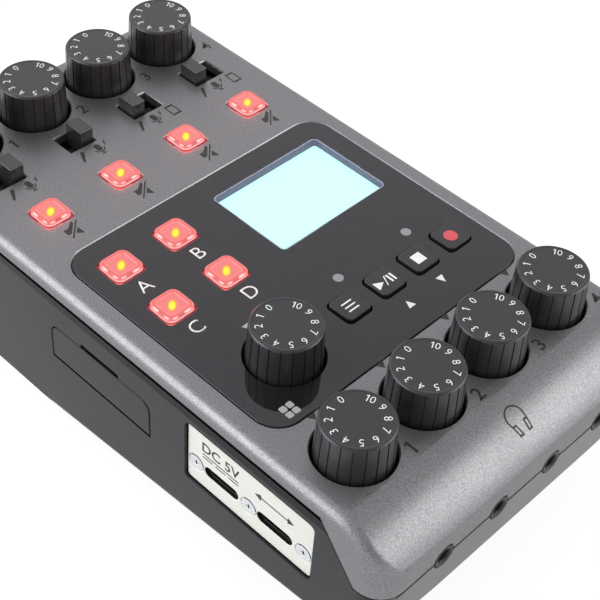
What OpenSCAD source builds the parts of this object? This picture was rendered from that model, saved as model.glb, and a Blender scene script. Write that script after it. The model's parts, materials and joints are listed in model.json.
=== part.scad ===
// Portable four-channel digital mixer, standing on its feet.
// Millimetres. Origin on the table under the middle of the body, +X right, +Y to the rear, +Z up.
// Distances named "from_front" are counted back from the front face.

/* [Body] */
// Width of both shells
body_w = 98; // [89:1:108]
// Depth of both shells
body_d = 175; // [158:1:192]
// Height from the case underside to the flat top
body_h = 48; // [47:0.5:54]
// Radius of the upright corners
corner_r = 7; // [5:0.5:9]
// Rounding along the two long top edges
top_edge_r = 3; // [2:0.25:3.5]
// Rounding along the two long bottom edges
bottom_edge_r = 3; // [2:0.25:3.5]
// Thickness of the side walls and the case floor
wall = 2.2; // [2:0.1:2.6]
// Thickness of the top shell's flat top
top_t = 3; // [2.8:0.1:3.4]
// Radius of the roll from the top down to the front face
roll_r = 17.1; // [15:0.1:20]
// How far the roll drops before it meets the front face
roll_drop = 11; // [9:0.5:13]
// Height of the top shell's skirt along the sides
side_skirt = 4.5; // [4:0.1:5.5]
// Height of the top shell's skirt at the front
front_skirt = 18.4; // [17.5:0.1:19.5]
// Depth of the low part of the skirt behind the front face
skirt_front_d = 8; // [7:0.5:9]
// Length over which the skirt rises from front to side
skirt_rise_d = 11; // [9:0.5:11]
// Height of the upright front face below the flat top
front_face_h = 29.1; // [28:0.1:32]
// Length of the sloped chin under the front face
chin_d = 15; // [13:0.5:17]
// Height of the sloped shoulder along the top of the lower case
shoulder_h = 3.4; // [2.5:0.1:4]
// How far the shoulder leans in under the top shell
shoulder_in = 0.4; // [0.2:0.1:0.9]
// Depth of the shadow groove on the front seam
seam_in = 0.6; // [0.3:0.1:0.9]
// Height of the shadow groove on the front seam
seam_h = 0.5; // [0.3:0.1:0.8]
// Depth of the shadow groove under the top shell's side edges
side_seam_in = 1.4; // [1.1:0.1:1.6]
// Height of the shadow groove under the top shell's side edges
side_seam_h = 1.5; // [1:0.1:2]
// Slope of the lower case's side edges, which rise towards the front
hull_tilt = 5.1; // [4:0.1:6]
// Rear face to where the side edges start to rise
hull_from_rear = 36; // [32:0.5:40]
// Lean of the underside below the side edges, away from upright
hull_lean = 35; // [30:1:45]

/* [Panel and display] */
// Margin between the glossy panel and each side of the body
panel_side = 6; // [5:0.1:7]
// Corner radius of the glossy panel
panel_r = 6.9; // [5:0.1:8]
// Thickness of the glossy panel
panel_t = 1.5; // [1.2:0.1:1.7]
// Gap around the glossy panel in its recess
panel_gap = 0.12; // [0.05:0.01:0.25]
// Front face to the panel's front edge
panel_from_front = 37.8; // [37:0.1:38.5]
// Rear face to the panel's rear edge
panel_from_rear = 64.1; // [63.5:0.1:65]
// Left edge of the display window, right of the centre line
window_left = -0.5; // [-1:0.1:0.5]
// Panel's right edge to the display window
window_in = 6.2; // [5.5:0.1:7]
// Panel's rear edge to the display window
window_behind = 6.85; // [6:0.05:8]
// Share of the panel's depth that the display window takes
window_share = 0.3543; // [0.33:0.001:0.37]
// Corner radius of the display window
window_r = 1.3; // [0.8:0.1:2]
// Depth of the lit display face below the panel
display_drop = 2.15; // [2:0.05:2.4]
// Rim of the display module around the window
module_rim = 3; // [2:0.5:4]
// Radius of the two indicator windows
indicator_r = 1.4; // [1:0.1:1.8]
// Sideways places of the two indicator windows
indicator_x = [2.45, 26.9];
// Front face to the indicator windows
indicator_from_front = 62.8; // [62:0.1:63.5]

/* [Knobs] */
// Margin between the outer channels' strips and the sides of the body
channel_side = 4.3; // [3.8:0.1:4.6]
// Front face to the phones knobs
phones_from_front = 24.25; // [23.5:0.05:25]
// Sideways shift of the phones knobs from the middle of their channels
phones_shift = 0.2; // [0:0.05:0.4]
// Rear face to the gain knobs
gain_from_rear = 13.3; // [13:0.1:14]
// Front face to the pad knob
pad_knob_from_front = 53.7; // [53:0.1:54.5]
// Radius of a knob at its foot
knob_base_r = 8.9; // [8.5:0.05:9.1]
// Radius of a knob at its shoulder
knob_top_r = 8.45; // [8:0.05:8.5]
// Height of a knob above the flat top
knob_h = 10.1; // [9.5:0.1:12]
// Depth of a knob's foot below the flat top
knob_sink = 2; // [1.5:0.1:2.5]
// Bevel around the top of a knob
knob_bevel = 0.6; // [0.4:0.05:0.8]
// Wall thickness of a knob
knob_wall = 1.6; // [1.4:0.1:1.9]
// Radius of the boss inside a knob
knob_boss_r = 4.6; // [4.2:0.1:5]
// Number of grip flutes around a knob
flutes = 20; // [16:1:24]
// Radius of the cutter that makes a flute
flute_r = 0.9; // [0.7:0.05:1.1]
// Depth of a flute at the shoulder
flute_depth = 0.35; // [0.2:0.05:0.5]
// Radius of the round well around a knob
well_r = 9.7; // [9.5:0.05:10]
// Radius of a pot shaft
shaft_r = 3; // [2.5:0.1:3.2]
// Running clearance of shafts, stems and hinge pins
run_gap = 0.05; // [0.03:0.01:0.08]
// Side of a square pot body
pot_w = 10; // [9:0.5:11]
// Height of a pot body
pot_h = 6.6; // [6:0.1:7]

/* [Buttons] */
// Width of a mute button
mute_w = 7.9; // [7.5:0.1:8.4]
// Depth of a mute button
mute_d = 8.2; // [7.8:0.1:8.7]
// Rear face to the mute buttons
mute_from_rear = 49; // [48:0.1:50]
// Sideways shift of the mute buttons from the middle of their channels
mute_shift = -0.3; // [-0.5:0.05:0]
// Side of a square pad button
pad_w = 8.4; // [8:0.1:8.8]
// Panel's left edge to the middle of the left pad column
pad_in = 9.55; // [9:0.05:10]
// Sideways pitch of the pad buttons
pad_pitch_x = 17.2; // [16.5:0.1:17.5]
// Rear face to the rear row of pads
pad_from_rear = 75.1; // [74.5:0.1:76]
// Pitch of the two pad rows, as a share of the way from the rear pads to the pad knob
pad_row_share = 0.3896; // [0.37:0.001:0.4]
// Side of a square key
key_w = 7.6; // [7.2:0.1:8]
// Middle of the leftmost key
key_x = -2.8; // [-3.3:0.1:-2.3]
// Panel's right edge to the middle of the rightmost key
key_in = 9.41; // [9:0.01:9.8]
// Front face to the keys
key_from_front = 54.1; // [53.5:0.1:55]
// Corner radius of a lit button
button_r = 2; // [1.5:0.1:2.5]
// Corner radius of a key
key_r = 1.1; // [0.8:0.1:1.5]
// Corner radius of the hole around a lit button
button_hole_r = 0.9; // [0.7:0.1:1.2]
// How far lit buttons stand above the flat top
button_proud = 1.3; // [1.1:0.1:1.5]
// How far keys stand above the flat top
key_proud = 0.9; // [0.85:0.05:1.2]
// Depth of the dish in a lit button
dish = 0.45; // [0.3:0.05:0.6]
// Rim of a lit button around its dish
dish_rim = 1.1; // [0.9:0.1:1.4]
// Gap around a lit button in its hole
button_gap = 0.25; // [0.2:0.05:0.35]
// Gap around a key in its hole
key_gap = 0.45; // [0.3:0.05:0.6]
// Travel of buttons and keys
press_travel = 0.8; // [0.5:0.1:1]
// Width of the flange that keeps a button in
flange = 1; // [0.8:0.1:1.3]
// Thickness of the flange that keeps a button in
flange_t = 1.2; // [1:0.1:1.4]
// Depth of a stem in its push switch at rest
stem_seat = 1.5; // [1.2:0.1:1.8]
// Radius of the stem under a button
stem_r = 1.75; // [1.5:0.05:1.9]
// Side of a square push switch
tact_w = 6; // [5.5:0.1:6.5]
// Height of a push switch
tact_h = 4; // [3.8:0.1:4.2]

/* [Slide switches] */
// Rear face to the input switches
switch_from_rear = 30.2; // [29.5:0.1:31]
// Length of the two short slots
short_slot = 8; // [7.6:0.1:8.4]
// Length of the two long slots
long_slot = 9.9; // [9.5:0.1:10.4]
// Width of every slot
slot_d = 7.4; // [7.2:0.1:7.8]
// Width of a switch cap along its travel
cap_w = 4; // [3.8:0.1:4.3]
// Depth of a switch cap across its travel
cap_d = 6.1; // [5.8:0.1:6.4]
// Height of a switch cap above the flat top
cap_h = 3.8; // [3.3:0.1:4.3]
// Gap left at each end of a slot
cap_end_gap = 0.2; // [0.15:0.05:0.3]
// Side of the square stem under a cap
lever_w = 2.4; // [2:0.1:2.8]
// Height of a slide-switch body
slider_h = 5.5; // [5:0.1:6]
// Floor under the groove in a slide-switch body
slider_floor = 1; // [0.8:0.1:1.4]
// Rim around the groove in a slide-switch body
slider_rim = 2; // [1.5:0.1:2.2]
// Front face to the power switch
power_from_front = 62; // [58:1:66]
// Length of the power switch's slot
power_slot = 9; // [8.5:0.1:10]
// Width of the power switch's cap along its travel
power_cap_w = 5; // [4.6:0.1:5.4]
// Height of the power switch's cap
power_cap_h = 3.6; // [3.2:0.1:4]

/* [Connectors] */
// Sideways pitch of the phones sockets
jack_pitch = 19; // [17:0.5:20]
// Radius of a jack hole in the walls
jack_hole_r = 3.15; // [3.1:0.05:3.4]
// Radius of the jack's round nose
jack_nose_r = 2.95; // [2.8:0.05:3]
// Radius of the jack's plug bore
jack_bore_r = 1.8; // [1.75:0.05:1.9]
// Length of a jack from nose to tail
jack_len = 14.5; // [14:0.5:16]
// Width of a jack body
jack_w = 8; // [7:0.5:9]
// Front face to the phone jack in the right wall
link_from_front = 84; // [80:1:88]
// Depth of the USB sockets' middle below the flat top
port_drop = 22; // [21.6:0.1:22.4]
// Front face to each USB socket
port_from_front = [49, 32];
// Length of a USB slot in the plate
port_slot_w = 11; // [10:0.1:11.5]
// Height of a USB slot in the plate
port_slot_h = 3.3; // [3.2:0.05:3.6]
// Width of a USB socket's shell
port_w = 8.94; // [8.9:0.02:9.1]
// Height of a USB socket's shell
port_h = 3.16; // [3.1:0.02:3.2]
// Sheet thickness of a USB socket's shell
port_sheet = 0.3; // [0.25:0.05:0.35]
// Length of a USB socket's shell
port_len = 7.3; // [7:0.1:8]
// Length of the contact tongue in a USB socket
port_tongue_l = 4.5; // [4.2:0.1:4.8]
// Width of the contact tongue in a USB socket
port_tongue_w = 6.7; // [6.5:0.05:6.9]
// Thickness of the contact tongue in a USB socket
port_tongue_t = 0.7; // [0.65:0.01:0.75]
// Length of the connector plate
plate_w = 39.7; // [39.3:0.1:40.5]
// Height of the connector plate
plate_h = 18.7; // [18.3:0.1:19.1]
// Thickness of the connector plate
plate_t = 1; // [0.8:0.1:1.2]
// Depth of the plate's face inside the case wall
plate_sink = 0.8; // [0.6:0.1:1]
// Corner radius of the connector plate
plate_r = 1.2; // [0.8:0.1:1.6]
// Gap around the connector plate in its recess
plate_gap = 0.3; // [0.2:0.05:0.4]
// Front face to the plate's middle
plate_from_front = 40.2; // [39.8:0.1:40.6]
// Depth of the plate's middle below the flat top
plate_drop = 19.05; // [18.7:0.05:19.4]
// Front face to each plate screw
plate_screw_from_front = [57.3, 40.2, 23.1];
// Radius of a plate screw's head
plate_screw_r = 2.3; // [2:0.1:2.5]
// Thickness of a plate screw's head
plate_screw_head_t = 0.5; // [0.4:0.05:0.55]
// Space on each side of a microphone socket in its channel's strip
xlr_side = 0.475; // [0.4:0.025:0.6]
// Wall of a microphone socket's tube
xlr_wall = 1.1; // [1:0.05:1.2]
// Width of the ring space around the insert that carries the contacts
xlr_ring = 1.7; // [1.6:0.05:1.9]
// Gap between the microphone sockets and the control board
xlr_board_gap = 0.7; // [0.5:0.1:1.5]
// How far the insert is set back from the rear face
xlr_insert_back = 1.5; // [1:0.1:2]
// How far the contacts are set back from the rear face
xlr_contact_back = 3.5; // [3:0.1:4]
// Depth of a microphone socket
xlr_len = 28; // [26:0.5:30]
// Thickness of a microphone socket's back
xlr_back_t = 4; // [3.5:0.5:5]
// Radius on which the contacts lie
xlr_contact_pcd_r = 3.8; // [3.6:0.05:4]
// Radius of a contact tube outside
xlr_contact_r = 1.7; // [1.6:0.02:1.8]
// Radius of a contact tube's pin bore
xlr_pin_r = 1.25; // [1.2:0.01:1.3]

/* [Card cover] */
// Length of the card cover
cover_w = 35.5; // [34.5:0.5:37]
// Height of the card cover
cover_h = 11.1; // [10.7:0.1:11.5]
// Front face to the cover's middle
cover_from_front = 90.45; // [89:0.05:91.5]
// Depth of the cover's middle below the flat top
cover_drop = 20.45; // [20.2:0.05:20.7]
// Gap around the cover
cover_gap = 0.25; // [0.2:0.05:0.35]
// Gap under the cover's round hinge edge
cover_hinge_gap = 0.08; // [0.06:0.01:0.12]
// Upper corner radius of the cover
cover_r = 2.6; // [2:0.1:3.2]
// Length of the finger slot over the cover
finger_slot_w = 13.5; // [12:0.5:15]
// Height of the finger slot over the cover
finger_slot_h = 1.2; // [0.9:0.1:1.5]
// Radius of the cover's hinge pins
pin_r = 0.6; // [0.55:0.01:0.65]
// Length of the cover's hinge pins
pin_len = 2; // [1.5:0.1:2.5]

/* [Card socket] */
// Length of the card socket, sideways
socket_l = 28; // [27:0.5:29]
// Width of the card socket
socket_w = 26; // [25.6:0.1:27]
// Height of the card socket
socket_h = 2.9; // [2.8:0.05:3.2]
// Length of the card slot, sideways
card_l = 25; // [24.5:0.1:25.5]
// Width of the card slot
card_w = 24.4; // [24.2:0.1:24.8]
// Height of the card slot
card_h = 2.3; // [2.2:0.05:2.4]

/* [Underside] */
// Height of the rubber feet below the case
foot_h = 1; // [0.8:0.1:1.5]
// Radius of a rubber foot
foot_r = 5; // [4.5:0.1:5.5]
// Depth of a foot's seat in the floor
foot_seat = 0.8; // [0.6:0.1:1]
// Side of the body to the middle of a foot
foot_in = 12; // [11.5:0.1:13]
// Gap between the battery door and the front feet
foot_gap = 1; // [0.8:0.1:2]
// Rear face to the rear feet
foot_from_rear = 17; // [15:0.5:19]
// Length of the battery bay, across the case
bay_w = 56.6; // [56:0.2:57.4]
// Width of the battery bay, front to rear
bay_d = 31; // [30.4:0.2:31.6]
// Height of the battery bay
bay_h = 15.4; // [15.2:0.1:16]
// Front face to the battery bay
bay_from_front = 19; // [18.5:0.5:19.5]
// Wall around the battery bay
bay_wall = 3.5; // [3.3:0.1:3.8]
// Ledge of the door around the bay
door_ledge = 1.8; // [1.6:0.1:2]
// Thickness of the battery door
door_t = 2; // [1.8:0.1:2.1]
// Gap between the door and the case
door_gap = 0.2; // [0.15:0.05:0.25]
// Width of the door's side tongues
tongue_w = 1.2; // [1:0.1:1.3]
// Thickness of the door's side tongues
tongue_t = 0.8; // [0.7:0.05:0.9]
// Pitch of the door's finger grooves
grip_pitch = 2.5; // [2:0.1:3]
// Radius of the door's finger grooves
grip_r = 0.6; // [0.5:0.05:0.8]
// Width of a battery contact
contact_w = 12; // [11:0.1:13]
// Height of a battery contact
contact_h = 11; // [10:0.1:12]
// Sheet thickness of a battery contact
contact_sheet = 0.4; // [0.3:0.05:0.5]
// Radius of the nub on a battery contact
nub_r = 2.6; // [2.2:0.1:3]
// Height of the nub on a battery contact
nub_h = 0.9; // [0.8:0.05:1]

/* [Boards and fasteners] */
// Depth of the control board's face below the flat top
control_drop = 11; // [10.9:0.1:11.3]
// Depth of the main board's face below the flat top
main_drop = 21.98; // [21.8:0.02:22.2]
// Thickness of both boards
board_t = 1.6; // [1.4:0.1:1.7]
// Side of the body to the control board's edge
control_in = 8.5; // [8:0.1:9]
// Gap between the control board and the long screw bosses
control_gap = 0.6; // [0.4:0.1:1]
// Gap between the main board and the side walls
board_gap = 1.3; // [1:0.1:1.6]
// Front face to the main board's front edge
main_from_front = 4; // [3.8:0.2:4.8]
// Gap between the main board and the microphone sockets
main_gap = 4.5; // [3.5:0.5:6]
// Front face to the control board's front edge
control_from_front = 14; // [13.8:0.2:14.8]
// Rear face to the control board's rear edge
control_from_rear = 5; // [4:0.2:6]
// Radius of a board boss
boss_r = 2.6; // [2.4:0.1:2.8]
// Front face to the front pair of control board bosses
control_boss_from_front = 38.7; // [38.2:0.1:39.2]
// Rear face to the other pairs of control board bosses
control_boss_from_rear = [60.5, 23.5];
// Front face to the first two pairs of main board bosses
main_boss_from_front = [60, 108];
// Main board's rear edge to its last pair of bosses
main_boss_in = 4.5; // [4:0.1:5]
// Side of the body to the middle of the case screws
case_screw_in = 9.5; // [9.3:0.1:9.9]
// Front face to each pair of case screws
case_screw_from_front = [39.7, 116];
// Height of the joint between the long screw bosses below the flat top
case_joint_drop = 9; // [8.5:0.1:9.5]
// Radius of a screw's thread
screw_r = 1.1; // [1:0.05:1.2]
// Radius of a screw's head
screw_head_r = 1.9; // [1.8:0.05:2]
// Height of a screw's head
screw_head_h = 1.3; // [1.2:0.1:1.5]
// Length of a board screw in its boss
board_screw_len = 5; // [4:0.5:6]

/* [Hidden] */
$fn = 48;
CHANNELS = [0 : 3];
PAD_NAMES = ["a", "b", "c", "d"];
KEY_NAMES = ["menu", "play", "stop", "record"];
FIXED_NODES = [
    "top_shell", "bottom_case", "display_panel", "lcd_window", "lcd_module", "indicator_lenses",
    "control_board", "main_board", "pot_bodies", "tact_switches", "slide_switch_bodies",
    "xlr_shells", "xlr_inserts", "xlr_contacts", "mini_jacks", "usb_sockets", "connector_plate",
    "plate_screws", "card_socket", "battery_contacts", "case_screws", "board_screws", "rubber_feet"
];

// Levels
z_case = foot_h;
z_top = foot_h + body_h;
z_ceiling = z_top - top_t;
z_floor = z_case + wall;
z_seam = z_top - side_skirt;
z_front_seam = z_top - front_skirt;
z_chin = z_top - front_face_h;
z_control = z_top - control_drop;
z_port = z_top - port_drop;
z_main = z_top - main_drop;
z_panel_floor = z_top - panel_t;
z_display = z_top - display_drop;
z_case_joint = z_top - case_joint_drop;

// Front and rear faces, and the roll over the front edge
y_front = -body_d / 2;
y_rear = body_d / 2;
x_side = body_w / 2;
roll_run = sqrt(pow(roll_r, 2) - pow(roll_r - roll_drop, 2));
z_roll = z_top - roll_r;

// Sizes and places that follow from the body's width
panel_w = body_w - 2 * panel_side;
channel_pitch = (body_w - 2 * channel_side) / 4;
window_w = panel_w / 2 - window_in - window_left;
window_x = window_left + window_w / 2;
pad_x = -panel_w / 2 + pad_in;
pad_knob_x = pad_x + pad_pitch_x / 2;
key_pitch = (panel_w / 2 - key_in - key_x) / 3;
xlr_r = channel_pitch / 2 - xlr_side;
xlr_bore_r = xlr_r - xlr_wall;
xlr_insert_r = xlr_bore_r - xlr_ring;
foot_x = x_side - foot_in;
boss_x = channel_pitch;
case_screw_x = x_side - case_screw_in;
control_w = body_w - 2 * control_in;

// Sizes and places that follow from the body's depth
panel_d = body_d - panel_from_front - panel_from_rear;
window_d = window_share * panel_d;
window_from_front = panel_from_front + panel_d - window_behind - window_d / 2;
gain_from_front = body_d - gain_from_rear;
mute_from_front = body_d - mute_from_rear;
switch_from_front = body_d - switch_from_rear;
pad_from_front = body_d - pad_from_rear;
pad_pitch_y = pad_row_share * (pad_from_front - pad_knob_from_front);
main_d = body_d - main_from_front - xlr_len - main_gap;
control_d = body_d - control_from_front - control_from_rear;
door_w = bay_w + 2 * door_ledge;
door_back = bay_from_front + bay_d + door_ledge;
foot_from_front = [door_back + foot_r + foot_gap, body_d - foot_from_rear];
control_bosses = concat(control_boss_from_front, [for (d = control_boss_from_rear) body_d - d]);
main_bosses = concat(main_boss_from_front, main_from_front + main_d - main_boss_in);

// Places of repeated parts
function from_front(d) = y_front + d;
function channel_x(i) = (i - 1.5) * channel_pitch;
function pad_at(i) = [pad_x + (i % 2) * pad_pitch_x, from_front(pad_from_front) - floor(i / 2) * pad_pitch_y];
function key_at(i) = [key_x + i * key_pitch, from_front(key_from_front)];
function mute_at(i) = [channel_x(i) + mute_shift, from_front(mute_from_front)];
function slot_len(i) = i < 2 ? short_slot : long_slot;
function cap_travel(len) = len - cap_w - 2 * cap_end_gap;
// The two short switches rest at the right end of their slots, the two long ones at the left end.
function cap_x(i) = channel_x(i) + (i < 2 ? 0.5 : -0.5) * cap_travel(slot_len(i));
gain_at = [for (i = CHANNELS) [channel_x(i), from_front(gain_from_front)]];
phones_at = [for (i = CHANNELS) [channel_x(i) + phones_shift, from_front(phones_from_front)]];
pad_knob_at = [pad_knob_x, from_front(pad_knob_from_front)];
knobs_at = concat(gain_at, phones_at, [pad_knob_at]);
presses_at = concat(
    [for (i = CHANNELS) mute_at(i)],
    [for (i = CHANNELS) pad_at(i)],
    [for (i = CHANNELS) key_at(i)]
);
panel_y = from_front(panel_from_front + panel_d / 2);
window_at = [window_x, from_front(window_from_front)];
jack_x = [for (i = CHANNELS) (i - 1.5) * jack_pitch];
jack_h = 2 * (z_front_seam - z_main);
z_xlr = z_control - board_t - xlr_board_gap - xlr_r;
z_plate = z_top - plate_drop;
z_cover = z_top - cover_drop;
cover_y = from_front(cover_from_front);
cover_axis_x = -x_side + wall / 2;
cover_axis_z = z_cover - cover_h / 2 + wall / 2;
power_travel = power_slot - power_cap_w - 2 * cap_end_gap;
control_boss_at = [for (x = [-boss_x, boss_x], d = control_bosses) [x, from_front(d)]];
main_boss_at = [for (x = [-boss_x, boss_x], d = main_bosses) [x, from_front(d)]];
case_screw_at = [for (x = [-case_screw_x, case_screw_x], d = case_screw_from_front) [x, from_front(d)]];

// Shared forms

// Flat rectangle with round corners, centred
module rounded(w, d, r) {
    square([w - 2 * r, d], center = true);
    square([w, d - 2 * r], center = true);
    for (x = [-1, 1], y = [-1, 1])
        translate([x * (w / 2 - r), y * (d / 2 - r)])
            circle(r);
}

// Sweeps an outline drawn in Y and Z across the whole width
module across(w) {
    rotate([90, 0, 90])
        translate([0, 0, -w / 2])
            linear_extrude(w)
                children();
}

// Sweeps an outline drawn in X and Z along the whole depth
module along(d) {
    rotate([90, 0, 0])
        translate([0, 0, -d / 2])
            linear_extrude(d)
                children();
}

// Area under the sloped chin, moved inwards by inset
module under_chin(inset) {
    run = [chin_d, z_case - z_chin];
    len = norm(run);
    step = run / len;
    lift = [-step[1], step[0]] * inset;
    start = [y_front, z_chin] + lift - step * len;
    end = [y_front + chin_d, z_case] + lift + step * len;
    polygon([start, end, [start[0], end[1]]]);
}

// Side outline of the whole body, moved inwards by inset, and by top_inset at the top
module side_outline(inset = 0, top_inset = 0) {
    arc_r = roll_r - inset;
    run = roll_run - inset;
    crease = z_roll + sqrt(pow(arc_r, 2) - pow(run, 2));
    front = y_front + inset;
    roll_y = y_front + roll_run;
    low = z_case + inset;
    difference() {
        union() {
            translate([roll_y, low])
                square([y_rear - inset - roll_y, z_top - top_inset - low]);
            translate([front, low])
                square([run, min(crease, z_top - top_inset) - low]);
            intersection() {
                translate([roll_y, z_roll])
                    circle(arc_r);
                translate([front, z_roll])
                    square([run, roll_r - top_inset]);
            }
        }
        under_chin(inset);
    }
}

// Plan of the body as an upright block, moved inwards by inset
module plan_block(inset = 0) {
    translate([0, 0, z_case])
        linear_extrude(body_h)
            rounded(body_w - 2 * inset, body_d - 2 * inset, corner_r - inset);
}

// Area above the line where the shells meet
module above_seam() {
    high = z_top + body_h;
    polygon([
        [y_rear + wall, high],
        [y_rear + wall, z_seam],
        [y_front + skirt_front_d + skirt_rise_d, z_seam],
        [y_front + skirt_front_d, z_front_seam],
        [y_front - wall, z_front_seam],
        [y_front - wall, high]
    ]);
}

// End outline of the top shell, with its rounded long edges
module shell_end() {
    translate([-x_side, 0])
        square([body_w, z_top - top_edge_r]);
    translate([-x_side + top_edge_r, 0])
        square([body_w - 2 * top_edge_r, z_top]);
    for (side = [-1, 1])
        translate([side * (x_side - top_edge_r), z_top - top_edge_r])
            circle(top_edge_r);
}

// Side outline that rounds the top shell's rear edge
module rear_edge() {
    front = y_front - wall;
    translate([front, 0])
        square([y_rear - front, z_top - top_edge_r]);
    translate([front, 0])
        square([y_rear - top_edge_r - front, z_top]);
    translate([y_rear - top_edge_r, z_top - top_edge_r])
        circle(top_edge_r);
}

// End outline of the lower case, with rounded bottom edges and leaning shoulders
module case_end() {
    shoulder = z_seam - shoulder_h;
    low = z_case + bottom_edge_r;
    translate([-x_side, low])
        square([body_w, shoulder - low]);
    translate([-x_side + bottom_edge_r, z_case])
        square([body_w - 2 * bottom_edge_r, shoulder - z_case]);
    for (side = [-1, 1])
        translate([side * (x_side - bottom_edge_r), low])
            circle(bottom_edge_r);
    polygon([
        [-x_side, shoulder],
        [x_side, shoulder],
        [x_side - shoulder_in, z_seam - side_seam_h],
        [-x_side + shoulder_in, z_seam - side_seam_h]
    ]);
    translate([-x_side + side_seam_in, shoulder])
        square([body_w - 2 * side_seam_in, shoulder_h]);
}

// Space outside the leaning lower sides, which start at the side edges, moved inwards by inset
module beside_hull(inset) {
    reach = 2 * body_d;
    for (side = [0, 1])
        mirror([side, 0, 0])
            translate([x_side, y_rear - hull_from_rear, z_case])
                rotate([-hull_tilt, 0, 0])
                    rotate([0, hull_lean, 0])
                        translate([-inset, -reach / 2, -reach / 2])
                            cube(reach);
}

// Space inside both shells
module cavity() {
    difference() {
        intersection() {
            plan_block(wall);
            across(body_w)
                side_outline(wall, top_t);
        }
        beside_hull(wall);
    }
}

// Round hole or pin standing on a level
module upright(at, low, high, r) {
    translate([at[0], at[1], low])
        cylinder(r = r, h = high - low);
}

// Rounded block standing on a level
module block(at, w, d, r, low, high) {
    translate([at[0], at[1], low])
        linear_extrude(high - low)
            rounded(w, d, r);
}

// Plain block between two levels
module slab(at, w, d, low, high) {
    translate([at[0] - w / 2, at[1] - d / 2, low])
        cube([w, d, high - low]);
}

// Round form lying along Y, from y to y + len
module lying(x, y, z, r, len) {
    translate([x, y, z])
        rotate([-90, 0, 0])
            cylinder(r = r, h = len);
}

// Round form lying along X, from x to x + len
module crosswise(x, y, z, r, len) {
    translate([x, y, z])
        rotate([0, 90, 0])
            cylinder(r = r, h = len);
}

// Upright rounded block in a side wall: w along Y, h along Z, from x to x + len
module side_block(x, y, z, w, h, r, len) {
    translate([x, y, z])
        rotate([90, 0, 90])
            linear_extrude(len)
                rounded(w, h, r);
}

// Holes in the front and right walls for the jacks
module jack_holes() {
    for (x = jack_x)
        lying(x, y_front - 1, z_front_seam, jack_hole_r, wall + 2);
    crosswise(x_side - wall - 1, from_front(link_from_front), z_front_seam, jack_hole_r, wall + 2);
}

// Openings for buttons, indicators and the window below the glossy panel, from low to high
module panel_openings(low, high) {
    for (i = CHANNELS) {
        block(pad_at(i), pad_w + 2 * button_gap, pad_w + 2 * button_gap, button_hole_r, low, high);
        block(key_at(i), key_w + 2 * key_gap, key_w + 2 * key_gap, key_r + key_gap, low, high);
    }
    upright(pad_knob_at, low, high, well_r);
    for (x = indicator_x)
        upright([x, from_front(indicator_from_front)], low, high, indicator_r);
    block(window_at, window_w, window_d, window_r, low, high);
}

// Casing

module top_shell() color("#858387") {
    over = z_top + 1;
    under = z_ceiling - 1;
    difference() {
        union() {
            difference() {
                intersection() {
                    plan_block();
                    across(body_w)
                        side_outline();
                    along(body_d)
                        shell_end();
                    across(body_w)
                        rear_edge();
                    across(body_w)
                        above_seam();
                }
                cavity();
            }
            for (at = control_boss_at)
                upright(at, z_control, z_ceiling + wall / 2, boss_r);
            for (at = case_screw_at)
                upright(at, z_case_joint, z_ceiling + wall / 2, boss_r);
        }
        block([0, panel_y], panel_w + 2 * panel_gap, panel_d + 2 * panel_gap,
            panel_r + panel_gap, z_panel_floor, over);
        for (at = concat(gain_at, phones_at))
            upright(at, under, over, well_r);
        panel_openings(under, over);
        for (i = CHANNELS) {
            block(mute_at(i), mute_w + 2 * button_gap, mute_d + 2 * button_gap,
                button_hole_r, under, over);
            slab([channel_x(i), from_front(switch_from_front)], slot_len(i), slot_d, under, over);
        }
        jack_holes();
        for (at = control_boss_at)
            upright(at, z_control - 1, z_control + board_screw_len, screw_r);
        for (at = case_screw_at)
            upright(at, z_case_joint - 1, z_case_joint + board_screw_len, screw_r);
    }
}

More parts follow.
